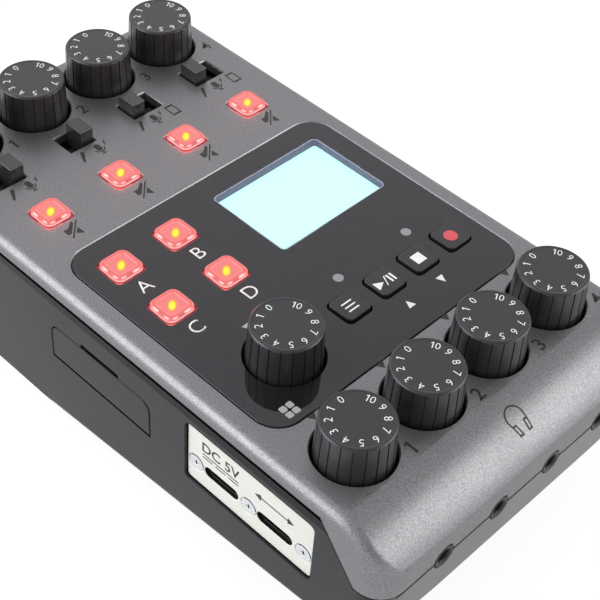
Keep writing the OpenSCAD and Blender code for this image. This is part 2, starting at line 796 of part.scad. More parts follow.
module bottom_case() color("#555558") {
    pad_depth = plate_sink + plate_t + wall;
    difference() {
        union() {
            difference() {
                intersection() {
                    plan_block();
                    across(body_w)
                        side_outline();
                    along(body_d)
                        case_end();
                    across(body_w)
                        difference() {
                            side_outline();
                            above_seam();
                        }
                }
                cavity();
            }
            // Block around the battery bay
            intersection() {
                slab([0, from_front(bay_from_front + bay_d / 2)], bay_w + 2 * bay_wall, bay_d + 2 * bay_wall,
                    z_case, z_case + door_t + bay_h + wall);
                across(body_w)
                    side_outline();
            }
            // Backing pad behind the connector plate
            difference() {
                side_block(-x_side + wall / 2, from_front(plate_from_front), z_plate, plate_w + 2 * wall,
                    plate_h + 2 * wall, plate_r, pad_depth - wall / 2);
                across(body_w)
                    above_seam();
            }
            for (at = main_boss_at)
                upright(at, z_case, z_main - board_t, boss_r);
            for (at = case_screw_at)
                upright(at, z_floor - wall / 2, z_case_joint, boss_r);
        }
        beside_hull(0);
        // Shadow groove along the front seam
        difference() {
            across(body_w)
                translate([y_front, z_front_seam - seam_h])
                    square([skirt_front_d, seam_h]);
            translate([-body_w, y_front + seam_in, z_case])
                cube([2 * body_w, body_d, body_h]);
        }
        // Battery bay, door recess and tongue grooves
        slab([0, from_front(bay_from_front + bay_d / 2)], bay_w, bay_d, z_case, z_case + door_t + bay_h);
        door_space(door_gap);
        // Connector plate recess, its ports and screws
        side_block(-x_side - 1, from_front(plate_from_front), z_plate, plate_w + 2 * plate_gap,
            plate_h + 2 * plate_gap, plate_r + plate_gap, 1 + plate_sink + plate_t);
        for (d = port_from_front)
            side_block(-x_side, from_front(d), z_port, port_slot_w, port_slot_h, port_slot_h / 2 - run_gap,
                pad_depth + 1);
        for (d = plate_screw_from_front)
            crosswise(-x_side, from_front(d), z_port, screw_r, pad_depth - wall / 2);
        // Card cover opening, hinge bores and finger slot
        cover_block(cover_gap, cover_hinge_gap, -x_side - 1, wall + 2);
        lying(cover_axis_x, cover_y - cover_w / 2 - pin_len - cover_gap, cover_axis_z, pin_r + run_gap,
            cover_w + 2 * pin_len + 2 * cover_gap);
        side_block(-x_side - 1, cover_y, z_cover + cover_h / 2 + cover_gap, finger_slot_w, 2 * finger_slot_h,
            finger_slot_h / 3, wall / 2 + 1);
        // Right wall: power switch slot
        side_block(x_side - wall - 1, from_front(power_from_front), z_front_seam, power_slot,
            power_cap_h + 2 * cap_end_gap, cap_end_gap, wall + 2);
        jack_holes();
        for (i = CHANNELS)
            lying(channel_x(i), y_rear - wall - 1, z_xlr, xlr_r + run_gap, wall + 2);
        for (at = main_boss_at)
            upright(at, z_main - board_t - board_screw_len, z_main, screw_r);
        for (at = case_screw_at) {
            upright(at, z_case - 1, z_case_joint + 1, screw_r + run_gap);
            upright(at, z_case - 1, z_floor + screw_head_h, screw_head_r + run_gap);
        }
        for (x = [-foot_x, foot_x], d = foot_from_front)
            upright([x, from_front(d)], z_case - 1, z_case + foot_seat, foot_r);
    }
}

// Upright outline of the card cover, grown by gap, and by hinge_gap at the hinge: round top corners
module cover_outline(gap, hinge_gap) {
    w = cover_w + 2 * gap;
    r = cover_r + gap;
    low = -cover_h / 2 - hinge_gap;
    high = cover_h / 2 + gap;
    translate([-w / 2, low])
        square([w, high - r - low]);
    translate([-w / 2 + r, low])
        square([w - 2 * r, high - low]);
    for (side = [-1, 1])
        translate([side * (w / 2 - r), high - r])
            circle(r);
}

module cover_block(gap, hinge_gap, x, len) {
    translate([x, cover_y, z_cover])
        rotate([90, 0, 90])
            linear_extrude(len)
                cover_outline(gap, hinge_gap);
}

module card_cover() color("#555558") {
    difference() {
        union() {
            cover_block(0, 0, -x_side, wall);
            lying(cover_axis_x, cover_y - cover_w / 2 - pin_len, cover_axis_z, pin_r, cover_w + 2 * pin_len);
        }
        // Round the hinge edge about the pins
        difference() {
            translate([-x_side - 1, cover_y - cover_w / 2 - 1, cover_axis_z - wall])
                cube([wall + 2, cover_w + 2, wall]);
            lying(cover_axis_x, cover_y - cover_w / 2 - pin_len - 1, cover_axis_z, wall / 2,
                cover_w + 2 * pin_len + 2);
        }
    }
}

// Sliding door with its side tongues, grown by gap; with a gap it also opens forwards through the chin
module door_space(gap) {
    reach = gap > 0 ? chin_d : 0;
    back = from_front(door_back) + gap;
    front = from_front(0) - reach;
    translate([-door_w / 2 - gap, front, z_case - (gap > 0 ? 1 : 0)])
        cube([door_w + 2 * gap, back - front, door_t + (gap > 0 ? 1 : 0) + gap / 2]);
    translate([-door_w / 2 - tongue_w - gap, front, z_case + (door_t - tongue_t) / 2 - gap / 2])
        cube([door_w + 2 * tongue_w + 2 * gap, back - front, tongue_t + gap]);
}

module battery_door() color("#4e4e51") {
    difference() {
        intersection() {
            door_space(0);
            across(body_w)
                side_outline();
        }
        // Finger grooves
        for (i = [0 : 4])
            crosswise(-bay_d / 4, from_front(bay_from_front + bay_d / 2 + i * grip_pitch), z_case, grip_r,
                bay_d / 2);
    }
}

module rubber_feet() color("#1c1c1d") {
    for (x = [-foot_x, foot_x], d = foot_from_front)
        upright([x, from_front(d)], 0, z_case + foot_seat, foot_r);
}

// Panel and display

module display_panel() color("#232225") {
    difference() {
        block([0, panel_y], panel_w, panel_d, panel_r, z_panel_floor, z_top);
        panel_openings(z_panel_floor - 1, z_top + 1);
    }
}

module lcd_window() color("#dff5f4", 0.4) {
    block(window_at, window_w - 2 * run_gap, window_d - 2 * run_gap, window_r, z_panel_floor, z_top);
}

module lcd_module() color("#c9f2f0") {
    slab(window_at, window_w + 2 * module_rim, window_d + 2 * module_rim, z_control, z_ceiling - cap_end_gap);
    slab(window_at, window_w - 4 * cap_end_gap, window_d - 4 * cap_end_gap, z_control, z_display);
}

module indicator_lenses() color("#7d7b80") {
    for (x = indicator_x)
        upright([x, from_front(indicator_from_front)], z_ceiling, z_top, indicator_r - run_gap);
}

// Boards and the switches on them

module control_board() color("#1f4d33") {
    difference() {
        slab([0, from_front(control_from_front + control_d / 2)], control_w, control_d,
            z_control - board_t, z_control);
        for (at = control_boss_at)
            upright(at, z_control - board_t - 1, z_control + 1, screw_r + run_gap);
        for (at = case_screw_at)
            upright(at, z_control - board_t - 1, z_control + 1, boss_r + control_gap);
    }
}

module main_board() color("#1f4d33") {
    difference() {
        slab([0, from_front(main_from_front + main_d / 2)], body_w - 2 * wall - 2 * board_gap, main_d,
            z_main - board_t, z_main);
        for (at = main_boss_at)
            upright(at, z_main - board_t - 1, z_main + 1, screw_r + run_gap);
        // Notches around the long screw bosses and the ports
        for (at = case_screw_at)
            upright(at, z_main - board_t - 1, z_main + 1, boss_r + cap_end_gap);
        translate([-x_side, from_front(plate_from_front) - plate_w / 2 - 2 * wall, z_main - board_t - 1])
            cube([plate_sink + plate_t + port_len + run_gap, plate_w + 4 * wall, board_t + 2]);
    }
}

module pot_bodies() color("#3a3d40") {
    for (at = knobs_at)
        difference() {
            slab(at, pot_w, pot_w, z_control, z_control + pot_h);
            upright(at, z_control + board_t / 2, z_control + pot_h + 1, shaft_r + run_gap);
        }
}

module tact_switches() color("#2c2c2e") {
    for (at = presses_at)
        difference() {
            slab(at, tact_w, tact_w, z_control, z_control + tact_h);
            upright(at, z_control + tact_h - stem_seat - press_travel - cap_end_gap, z_control + tact_h + 1,
                stem_r + run_gap);
        }
}

module slide_switch_bodies() color("#9a9c9e") {
    for (i = CHANNELS) {
        at = [channel_x(i), from_front(switch_from_front)];
        run = cap_travel(slot_len(i)) + lever_w + 2 * cap_end_gap;
        difference() {
            slab(at, run + 2 * slider_rim, lever_w + 2 * slider_rim, z_control, z_control + slider_h);
            slab(at, run, lever_w + 2 * run_gap, z_control + slider_floor,
                z_control + slider_h + 1);
        }
    }
    run = power_travel + lever_w + 2 * cap_end_gap;
    y = from_front(power_from_front);
    inner = x_side - wall - board_gap;
    difference() {
        translate([inner - slider_h, y - run / 2 - slider_rim, z_main])
            cube([slider_h, run + 2 * slider_rim, z_front_seam - z_main + lever_w / 2 + slider_rim]);
        translate([inner - slider_h + slider_floor, y - run / 2, z_front_seam - lever_w / 2 - run_gap])
            cube([slider_h, run, lever_w + 2 * run_gap]);
    }
}

// Connectors

// Jack body with its nose, lying along -Y with the nose's end at the origin
module jack() {
    difference() {
        union() {
            lying(0, 0, 0, jack_nose_r, wall + 1);
            translate([-jack_w / 2, wall + run_gap, -jack_h / 2])
                cube([jack_w, jack_len - wall, jack_h]);
        }
        lying(0, -1, 0, jack_bore_r, jack_len + 1 - board_t);
    }
}

module mini_jacks() color("#222224") {
    for (x = jack_x)
        translate([x, y_front, z_front_seam])
            jack();
    translate([x_side, from_front(link_from_front), z_front_seam])
        rotate([0, 0, 90])
            jack();
}

module usb_sockets() color("#b8bbc0") {
    inner = -x_side + plate_sink + plate_t;
    for (d = port_from_front) {
        y = from_front(d);
        difference() {
            side_block(inner, y, z_port, port_w, port_h, port_h / 2 - run_gap, port_len);
            side_block(inner - 1, y, z_port, port_w - 2 * port_sheet, port_h - 2 * port_sheet,
                port_h / 2 - port_sheet - run_gap, port_len);
        }
        translate([inner + port_len - 1 - port_tongue_l, y - port_tongue_w / 2, z_port - port_tongue_t / 2])
            cube([port_tongue_l, port_tongue_w, port_tongue_t]);
        // Carrier strip that ties the socket to the main board
        translate([inner + port_len - port_sheet, y - port_w / 2, z_main])
            cube([2 * wall, port_w, port_h]);
    }
}

module connector_plate() color("#ecede6") {
    x = -x_side + plate_sink;
    difference() {
        side_block(x, from_front(plate_from_front), z_plate, plate_w, plate_h, plate_r, plate_t);
        for (d = port_from_front)
            side_block(x - 1, from_front(d), z_port, port_slot_w, port_slot_h, port_slot_h / 2 - run_gap,
                plate_t + 2);
        for (d = plate_screw_from_front) {
            crosswise(x - 1, from_front(d), z_port, screw_r + run_gap, plate_t + 2);
            crosswise(x - 1, from_front(d), z_port, plate_screw_r + plate_gap / 2, 1 + plate_screw_head_t);
        }
    }
}

module plate_screws() color("#d9dde2") {
    head_t = plate_screw_head_t;
    x = -x_side + plate_sink;
    for (d = plate_screw_from_front)
        difference() {
            union() {
                crosswise(x, from_front(d), z_port, plate_screw_r, head_t);
                crosswise(x, from_front(d), z_port, screw_r, plate_t + wall / 2);
            }
            for (turn = [0, 90])
                translate([x, from_front(d), z_port])
                    rotate([turn, 0, 0])
                        translate([-head_t, -plate_screw_r / 3, -head_t / 3])
                            cube([1.6 * head_t, plate_screw_r / 1.5, head_t / 1.5]);
        }
}

module card_socket() color("#b8bbc0") {
    x = -x_side + wall + board_gap;
    difference() {
        translate([x, cover_y - socket_w / 2, z_main])
            cube([socket_l, socket_w, socket_h]);
        translate([x - 1, cover_y - card_w / 2, z_main + (socket_h - card_h) / 2])
            cube([card_l + 1, card_w, card_h]);
    }
}

module xlr_shells() color("#2a2a2c") {
    for (i = CHANNELS)
        difference() {
            lying(channel_x(i), y_rear - xlr_len, z_xlr, xlr_r, xlr_len);
            lying(channel_x(i), y_rear - xlr_len + xlr_back_t, z_xlr, xlr_bore_r, xlr_len);
        }
}

// Places of the three contacts in one microphone socket
function contact_at(i, k) = [
    channel_x(i) + xlr_contact_pcd_r * cos(90 + 120 * k),
    z_xlr + xlr_contact_pcd_r * sin(90 + 120 * k)
];

module xlr_inserts() color("#1d1d1f") {
    low = y_rear - xlr_len + xlr_back_t;
    for (i = CHANNELS)
        difference() {
            lying(channel_x(i), low, z_xlr, xlr_insert_r, xlr_len - xlr_back_t - xlr_insert_back);
            for (k = [0 : 2])
                lying(contact_at(i, k)[0], low - 1, contact_at(i, k)[1], xlr_contact_r + run_gap, xlr_len);
        }
}

module xlr_contacts() color("#c9a94f") {
    low = y_rear - xlr_len + xlr_back_t;
    len = xlr_len - xlr_back_t - xlr_contact_back;
    for (i = CHANNELS, k = [0 : 2])
        difference() {
            lying(contact_at(i, k)[0], low, contact_at(i, k)[1], xlr_contact_r, len);
            lying(contact_at(i, k)[0], low + board_t, contact_at(i, k)[1], xlr_pin_r, len);
        }
}

// Battery contacts: a plate for each cell end, with a button at one end and a spring seat at the other
module battery_contacts() color("#c8c9cb") {
    z = z_case + door_t + bay_h / 2;
    for (side = [-1, 1], row = [-1, 1]) {
        y = from_front(bay_from_front + bay_d / 2 + row * bay_d / 4);
        wall_x = side * bay_w / 2;
        translate([min(wall_x, wall_x - side * contact_sheet), y - contact_w / 2, z - contact_h / 2])
            cube([contact_sheet, contact_w, contact_h]);
        tip = side * row > 0 ? nub_h : 2 * nub_h;
        crosswise(side > 0 ? wall_x - contact_sheet - tip : wall_x + contact_sheet, y, z, nub_r, tip);
    }
}

// Fasteners

module case_screws() color("#8d9094") {
    for (at = case_screw_at) {
        upright(at, z_floor, z_floor + screw_head_h, screw_head_r);
        upright(at, z_floor, z_case_joint + board_screw_len - 1, screw_r);
    }
}

module board_screws() color("#8d9094") {
    for (at = control_boss_at) {
        upright(at, z_control - board_t - screw_head_h, z_control - board_t, screw_head_r);
        upright(at, z_control - board_t - screw_head_h, z_control + board_screw_len - 1, screw_r);
    }
    for (at = main_boss_at) {
        upright(at, z_main, z_main + screw_head_h, screw_head_r);
        upright(at, z_main - board_t - board_screw_len + 1, z_main + screw_head_h, screw_r);
    }
}

// Controls

module knob(at) color("#2b2a2d") {
    low = z_top - knob_sink;
    high = z_top + knob_h;
    shoulder = high - knob_bevel;
    roof = high - knob_wall;
    dish_r = knob_top_r - 2 * knob_bevel;
    dish_h = knob_bevel / 3;
    translate([at[0], at[1], 0])
        difference() {
            rotate_extrude()
                polygon([
                    [shaft_r, low + knob_sink / 2],
                    [knob_boss_r, low + knob_sink / 2],
                    [knob_boss_r, roof],
                    [knob_base_r - knob_wall, roof],
                    [knob_base_r - knob_wall, low],
                    [knob_base_r, low],
                    [knob_top_r, shoulder],
                    [knob_top_r - knob_bevel, high],
                    [dish_r, high],
                    [dish_r - knob_bevel, high - dish_h],
                    [0, high - dish_h],
                    [0, roof - knob_bevel],
                    [shaft_r, roof - knob_bevel]
                ]);
            for (k = [0 : flutes - 1])
                rotate([0, 0, k * 360 / flutes])
                    translate([knob_top_r + flute_r - flute_depth, 0, low - 1])
                        cylinder(r = flute_r, h = shoulder - low - knob_bevel);
        }
}

module shaft(at) color("#a9abae") {
    upright(at, z_control + board_t, z_top + knob_h - knob_wall - knob_bevel, shaft_r);
}

// Button with a flange under the top shell and a stem in its push switch
module press(at, w, d, r, proud, hollow) {
    flange_top = z_ceiling - cap_end_gap;
    stem_low = z_control + tact_h - stem_seat;
    difference() {
        union() {
            block(at, w, d, r, flange_top - flange_t, z_top + proud);
            block(at, w + 2 * flange, d + 2 * flange, r + flange, flange_top - flange_t, flange_top);
            upright(at, stem_low, flange_top, stem_r);
        }
        if (hollow)
            block(at, w - 2 * dish_rim, d - 2 * dish_rim, r - dish_rim / 2,
                z_top + proud - dish, z_top + proud + 1);
    }
}

module mute_button(i) color("#ff6b6b") press(mute_at(i), mute_w, mute_d, button_r, button_proud, true);

module pad_button(i) color("#ff6b6b") press(pad_at(i), pad_w, pad_w, button_r, button_proud, true);

module key_button(i) color("#3a393c") press(key_at(i), key_w, key_w, key_r, key_proud, false);

module input_switch(i) color("#39393c") {
    at = [cap_x(i), from_front(switch_from_front)];
    slab(at, cap_w, cap_d, z_ceiling, z_top + cap_h);
    slab(at, lever_w, lever_w, z_control + slider_floor + cap_end_gap, z_ceiling);
}

module power_switch() color("#2c2c2e") {
    y = from_front(power_from_front) - power_travel / 2;
    stem_x = x_side - wall - board_gap - slider_h + slider_floor + cap_end_gap;
    side_block(x_side - wall, y, z_front_seam, power_cap_w, power_cap_h, cap_end_gap, wall - cap_end_gap);
    translate([stem_x, y - lever_w / 2, z_front_seam - lever_w / 2])
        cube([x_side - wall - stem_x, lever_w, lever_w]);
}

top_shell();
bottom_case();
display_panel();
lcd_window();
lcd_module();
indicator_lenses();
control_board();
main_board();
pot_bodies();
tact_switches();
slide_switch_bodies();
xlr_shells();
xlr_inserts();
xlr_contacts();
mini_jacks();
usb_sockets();
connector_plate();
plate_screws();
card_socket();
battery_contacts();
case_screws();
board_screws();
rubber_feet();
for (i = CHANNELS) {
    knob(gain_at[i]);
    shaft(gain_at[i]);
    knob(phones_at[i]);
    shaft(phones_at[i]);
    mute_button(i);
    pad_button(i);
    key_button(i);
    input_switch(i);
}
knob(pad_knob_at);  // pad_knob
shaft(pad_knob_at);  // pad_shaft
power_switch();
battery_door();
card_cover();
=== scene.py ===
"""Looks of a portable four-channel audio mixer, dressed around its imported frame. Units are metres."""
import json
import math

import bpy
from mathutils import Matrix, Vector


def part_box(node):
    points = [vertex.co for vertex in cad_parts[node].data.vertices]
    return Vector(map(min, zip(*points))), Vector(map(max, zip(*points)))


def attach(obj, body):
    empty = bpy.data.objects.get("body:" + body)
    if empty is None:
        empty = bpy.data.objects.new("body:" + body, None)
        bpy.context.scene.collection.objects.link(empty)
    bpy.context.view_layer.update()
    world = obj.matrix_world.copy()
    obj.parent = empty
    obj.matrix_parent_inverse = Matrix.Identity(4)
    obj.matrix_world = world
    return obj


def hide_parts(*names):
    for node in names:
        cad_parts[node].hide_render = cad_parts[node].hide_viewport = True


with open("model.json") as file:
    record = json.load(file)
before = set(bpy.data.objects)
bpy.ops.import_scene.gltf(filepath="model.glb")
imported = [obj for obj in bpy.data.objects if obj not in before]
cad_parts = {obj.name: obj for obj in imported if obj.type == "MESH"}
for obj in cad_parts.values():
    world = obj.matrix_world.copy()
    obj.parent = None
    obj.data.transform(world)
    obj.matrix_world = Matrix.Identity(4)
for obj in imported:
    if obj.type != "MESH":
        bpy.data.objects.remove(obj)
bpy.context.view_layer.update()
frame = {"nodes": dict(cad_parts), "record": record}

MM = 0.001
CHANNELS = (1, 2, 3, 4)
PADS = "abcd"
KEYS = ("menu", "play", "stop", "record")

# The camera's view: heights are above the flat top
CAMERA_AT = Vector((-187.38, -179.26, 233.95)) * MM
CAMERA_AIM = Vector((-9.72, -23.85, 0.0)) * MM
CAMERA_ROLL = math.radians(4.73)
CAMERA_LENS = 85.09

# Studio: the sky's light along the horizon, its change by height and towards the rear, and its share
# that falls on matt surfaces
SKY_LEVEL = 0.95
SKY_SLOPE = (0.0, 0.42, -0.30)
SKY_FILL = 0.92
LAMP_DISTANCE = 0.8
LAMP_WIDTH = 0.6
FLOOR_SIZE = 6
FLOOR_TONE = 0.22
FLOOR_LIFT = 0.87

# Casing
SKIN_INSET = 0.05 * MM
CORNER_R = 7 * MM
CORNER_STEPS = 8
EDGE_R = 3 * MM
EDGE_STEPS = 6
FOOT_EDGE_R = 0.8 * EDGE_R
FRONT_CREASE_SHARE = 0.2
ROLL_R = 17.1 * MM
ROLL_DROP = 11 * MM
CHIN_FACE_H = 29.1 * MM
CHIN_D = 15 * MM
RIM_BEVEL = 0.22 * MM
SHELL_BEVEL = 0.3 * MM
HULL_BEVEL = 0.8 * MM
HULL_H = 14 * MM
RIM_CLEAR = 6 * MM
SEAM_DEPTH = 1.4 * MM
SEAM_H = 1.5 * MM
COVER_EDGE = 0.25 * MM
COVER_EDGE_REACH = Vector((0.4, 0.2, 0.3)) * MM
JACK_BORE_R = 1.8 * MM
JACK_MOUTH = 0.8 * MM

# Knobs
FLUTES = 20
COLUMNS_PER_FLUTE = 8
FLUTE_DEPTH = 0.25 * MM
KNOB_FLARE = 0.2 * MM
KNOB_TAPER = 0.45 * MM
KNOB_CHAMFER = 0.4 * MM
KNOB_DISH = 0.08 * MM
KNOB_RIM = 0.45 * MM
KNOB_DISH_SLOPE = 0.15 * MM
KNOB_EDGE = 0.09 * MM
FIGURE_RING_R = 6.32 * MM
FIGURE_H = 1.85 * MM
FIGURE_STEP = math.radians(30)
FIGURES = 11
FIGURE_WEIGHT = -0.008
# Degrees that a knob's figures are turned clockwise at rest
REST_LEAD = {"gain_knob_2": -1, "phones_knob_1": 11, "phones_knob_2": 3, "phones_knob_3": 3,
             "phones_knob_4": 1, "pad_knob": 6}
REST_LEAD_OTHERS = 8

# Printing: sizes, and places from a control's middle or from the middle of the body
INK_T = 0.03 * MM
NUMBER_H = 3.7 * MM
LETTER_H = 3.85 * MM
LETTER_WEIGHT = -0.006
PRINT_WEIGHT = 0.012
POWERED_MARK_SCALE = 1.12
LETTER_AT = Vector((-0.1, -8.4, 0)) * MM
UP_MARK_AT = Vector((8.56, -42.0, 0)) * MM
DOWN_MARK_AT = Vector((20.8, -41.8, 0)) * MM
PAD_POINTER_AT = Vector((0, 11.8, 0)) * MM
PADS_MARK_AT = Vector((-35.5, -46.06, 0)) * MM
PADS_TILE = 1.7 * MM
PADS_TILE_R = 0.4 * MM
PADS_TILE_WAY = 1.025 * MM
PHONES_NUMBER_AT = Vector((9.65, -7.8, 0)) * MM
GAIN_NUMBER_AT = Vector((9.7, -8.2, 0)) * MM
MUTE_MARK_AT = Vector((0.82, -8.25, 0)) * MM
KEY_MARK_AT = Vector((-0.2, -0.2, 0)) * MM
HEADPHONES_AT = Vector((1.25, -80.9, 0)) * MM
HEADPHONES_LEAN = 0.37
BAND_END = 0.75 * MM
ICON_ROW = 50.15 * MM
POINTER_ROW = -51.03 * MM
PORT_MARK_AT = Vector((0, 0.4, 0.25)) * MM

# Lit buttons, keys and switch caps
FLANGE = 1 * MM
LENS_CORNER_R = 2 * MM
LENS_CHAMFER = 0.42 * MM
LENS_RIM = 0.75 * MM
LENS_SLOPE = 0.25 * MM
LENS_DISH = 0.3 * MM
LENS_SUNK = 2 * MM
LENS_EDGE = 0.05 * MM
LENS_GLOW_DEPTH = 1.5 * MM
COLLAR_OUT = 0.22 * MM
COLLAR_R = 0.9 * MM
COLLAR_DROP = 0.4 * MM
COLLAR_LIT_FROM = 0.5
LENS_SPILL = 4.0
LAMP_AT = Vector((-0.25, -0.3, 0)) * MM
LAMP_LONG = 1.9 * MM
LAMP_SHORT = 1.05 * MM
LAMP_REACH = 1.5
KEY_SUNK = 2.2 * MM
KEY_CORNER_R = 1.1 * MM
KEY_CROWN = 0.55 * MM
KEY_EDGE = 0.35 * MM
SWITCH_SUNK = 3 * MM
SWITCH_STEM = 1.2 * MM
SWITCH_EDGE = 0.17 * MM

# Display, seen through its window: bare border around the lit face, and the frame's flat edge, which is paler
# as a painted highlight
PANE_T = 0.12 * MM
WINDOW_CORNER_R = 1.3 * MM
LIT_CORNER_R = 0.9 * MM
BEZEL_RIM = 0.26 * MM
LIT_INSET_LOW = Vector((0.2, 0.3, 0)) * MM
LIT_INSET_HIGH = Vector((0.36, 0.68, 0)) * MM
LIT_SUNK = 0.2 * MM
LIT_RISE = 0.08 * MM
BEZEL_SUNK = 0.25 * MM
BEZEL_FLOOR = 0.3 * MM

# Connector plate
SCREW_ARC_R = 2.5 * MM
SCREW_ARC_W = 0.28 * MM
PORT_REACH = Vector((0.2, 6, 2.6)) * MM

# Lays a flat shape on the left wall, upright and read from outside
ON_LEFT_WALL = Matrix(((0, 0, -1, 0), (-1, 0, 0, 0), (0, 1, 0, 0), (0, 0, 0, 1)))

record = frame["record"]
body_of = {node: body for body, nodes in record["behaviour"]["bodies"].items() for node in nodes}
mount_at = {mount["name"]: Vector(mount["pos_m"]) for mount in record["mounts"]}


def middle(node):
    low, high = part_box(node)
    return (low + high) / 2


def top_of(node):
    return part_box(node)[1].z


def beside(node, offset, height):
    """The place at a height that is offset from a node's middle."""
    return Vector((*(middle(node) + offset).xy, height))


shell_low, shell_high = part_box("top_shell")
case_low, case_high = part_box("bottom_case")
TOP = shell_high.z


# Hand tools

def take(obj):
    """Makes obj the only selected object, and the active one."""
    bpy.ops.object.select_all(action="DESELECT")
    obj.select_set(True)
    bpy.context.view_layer.objects.active = obj
    return obj


def pick(obj, kind, test):
    """Opens obj in edit mode with the items of one kind selected that pass test."""
    take(obj)
    bpy.ops.object.mode_set(mode="EDIT")
    bpy.ops.mesh.select_mode(type=kind)
    bpy.ops.mesh.select_all(action="DESELECT")
    bpy.ops.object.mode_set(mode="OBJECT")
    mesh = obj.data
    if kind == "FACE":
        for face in mesh.polygons:
            face.select = test(face.center, face.normal)
    elif kind == "EDGE":
        for edge in mesh.edges:
            edge.select = test(*(mesh.vertices[v].co for v in edge.vertices))
    else:
        for vertex in mesh.vertices:
            vertex.select = test(vertex.co)
    bpy.ops.object.mode_set(mode="EDIT")


def done():
    bpy.ops.object.mode_set(mode="OBJECT")


def everything(*item):
    return True


def round_edges(obj, test, radius, steps, **options):
    """Rounds the edges that pass test."""
    pick(obj, "EDGE", test)
    bpy.ops.mesh.bevel(offset=radius, segments=steps, affect="EDGES", **options)
    done()


def cut(obj, place, normal, threshold=MM / 1000, **options):
    """Cuts all of obj along a plane."""
    pick(obj, "VERT", everything)
    bpy.ops.mesh.bisect(plane_co=place, plane_no=normal, threshold=threshold, **options)
    done()


def added():
    """The primitive that was just added, with its place and size put into its mesh."""
    obj = take(bpy.context.object)
    bpy.ops.object.transform_apply(location=True, rotation=True, scale=True)
    return obj


def add_block(low, high):
    bpy.ops.mesh.primitive_cube_add(size=1, location=(Vector(low) + Vector(high)) / 2)
    bpy.context.object.scale = Vector(high) - Vector(low)
    return added()


def upright_edge(a, b):
    return abs(a.x - b.x) + abs(a.y - b.y) < SKIN_INSET / 10


def add_rounded_block(low, high, radius, steps=6):
    """Block with its upright edges rounded."""
    obj = add_block(low, high)
    round_edges(obj, upright_edge, radius, steps)
    return obj


def use_modifier(obj, kind, **settings):
    take(obj)
    modifier = obj.modifiers.new(kind.lower(), kind)
    for name, value in settings.items():
        setattr(modifier, name, value)
    bpy.ops.object.modifier_apply(modifier=modifier.name)


def soften(obj, width, segments=2, angle=math.radians(40), spare=None):
    """Rounds every sharp edge a little, but those to spare, and evens out the shading of the flats."""
    take(obj)
    bpy.ops.object.shade_smooth_by_angle(angle=angle)
    if spare:
        weigh_edges(obj, angle, lambda a, b: 0.0 if spare(a, b) else 1.0)
    use_modifier(obj, "BEVEL", width=width, segments=segments, limit_method="WEIGHT" if spare else "ANGLE",
                 angle_limit=angle, use_clamp_overlap=False, harden_normals=False)
    take(obj)
    bpy.ops.object.shade_smooth_by_angle(angle=angle)
    use_modifier(obj, "WEIGHTED_NORMAL", keep_sharp=True, weight=80)
    return obj


def weigh_edges(obj, angle, share_of):
    """Gives every edge sharper than angle its share of a bevel's width."""
    pick(obj, "EDGE", lambda a, b: False)
    bpy.ops.mesh.edges_select_sharp(sharpness=angle)
    done()
    mesh = obj.data
    shares = mesh.attributes.new("bevel_weight_edge", "FLOAT", "EDGE")
    for edge in mesh.edges:
        if edge.select:
            shares.data[edge.index].value = share_of(*(mesh.vertices[v].co for v in edge.vertices))


def cad_copy(node):
    """Loose copy of a node's mesh, with its triangles merged and its flats made whole."""
    mesh = frame["nodes"][node].data.copy()
    mesh.materials.clear()
    obj = bpy.data.objects.new("copy_of_" + node, mesh)
    bpy.context.scene.collection.objects.link(obj)
    pick(obj, "VERT", everything)
    bpy.ops.mesh.remove_doubles(threshold=MM / 1000)
    bpy.ops.mesh.dissolve_limited(angle_limit=math.radians(0.3))
    done()
    return obj


def boolean(obj, operation, tool):
    use_modifier(obj, "BOOLEAN", operation=operation, object=tool, solver="EXACT")
    bpy.data.objects.remove(tool)


def joined(parts):
    take(parts[0])
    for part in parts[1:]:
        part.select_set(True)
    if len(parts) > 1:
        bpy.ops.object.join()
    return parts[0]


def duplicate(obj, matrix):
    copy = bpy.data.objects.new(obj.name, obj.data.copy())
    bpy.context.scene.collection.objects.link(copy)
    copy.data.transform(matrix)
    return copy


def settle(obj, name, body, material, stands_for=()):
    """Names a finished piece, gives it its material and lets it ride on its body."""
    obj.name = name
    obj.data.name = name
    obj.data.materials.clear()
    obj.data.materials.append(material)
    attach(obj, body)
    if stands_for:
        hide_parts(*stands_for)
    return obj


def stand_in(obj, node, material):
    """A finished piece takes the place of one node."""
    return settle(obj, "finished_" + node, body_of[node], material, [node])


def dress(node, width, material, spare=None):
    """The node's own shape with its edges rounded."""
    return stand_in(soften(cad_copy(node), width, spare=spare), node, material)


def recolour(obj, material, test):
    """Faces that pass test get a second material."""
    obj.data.materials.append(material)
    for face in obj.data.polygons:
        if test(face.center, face.normal):
            face.material_index = len(obj.data.materials) - 1


# Shader nodes

PLAIN = (1, 1, 1)


def fill(tree, node, sockets):
    """Links each input that is given another node's output, and sets the others."""
    for name, value in sockets.items():
        if isinstance(value, bpy.types.NodeSocket):
            tree.links.new(value, node.inputs[name])
        else:
            node.inputs[name].default_value = value


def output(tree, kind, sockets=None, port=0, **settings):
    """One output of a new node, once the node has its settings and inputs."""
    node = tree.nodes.new("ShaderNode" + kind)
    for name, value in settings.items():
        setattr(node, name, value)
    fill(tree, node, sockets or {})
    return node.outputs[port]


def larger(tree, a, b):
    return output(tree, "Math", {0: a, 1: b}, operation="MAXIMUM")


def placed(tree, group, sockets):
    """Outputs of a node group that is placed with its own values."""
    node = tree.nodes.new("ShaderNodeGroup")
    node.node_tree = group
    fill(tree, node, sockets)
    return node.outputs


def new_group(name, inputs, outputs):
    """Empty node group with what it is given and its outlet."""
    group = bpy.data.node_groups.new(name, "ShaderNodeTree")
    for way, sockets in (("INPUT", inputs), ("OUTPUT", outputs)):
        for socket, kind in sockets.items():
            group.interface.new_socket(socket, in_out=way, socket_type="NodeSocket" + kind)
    return group, group.nodes.new("NodeGroupInput").outputs, group.nodes.new("NodeGroupOutput")


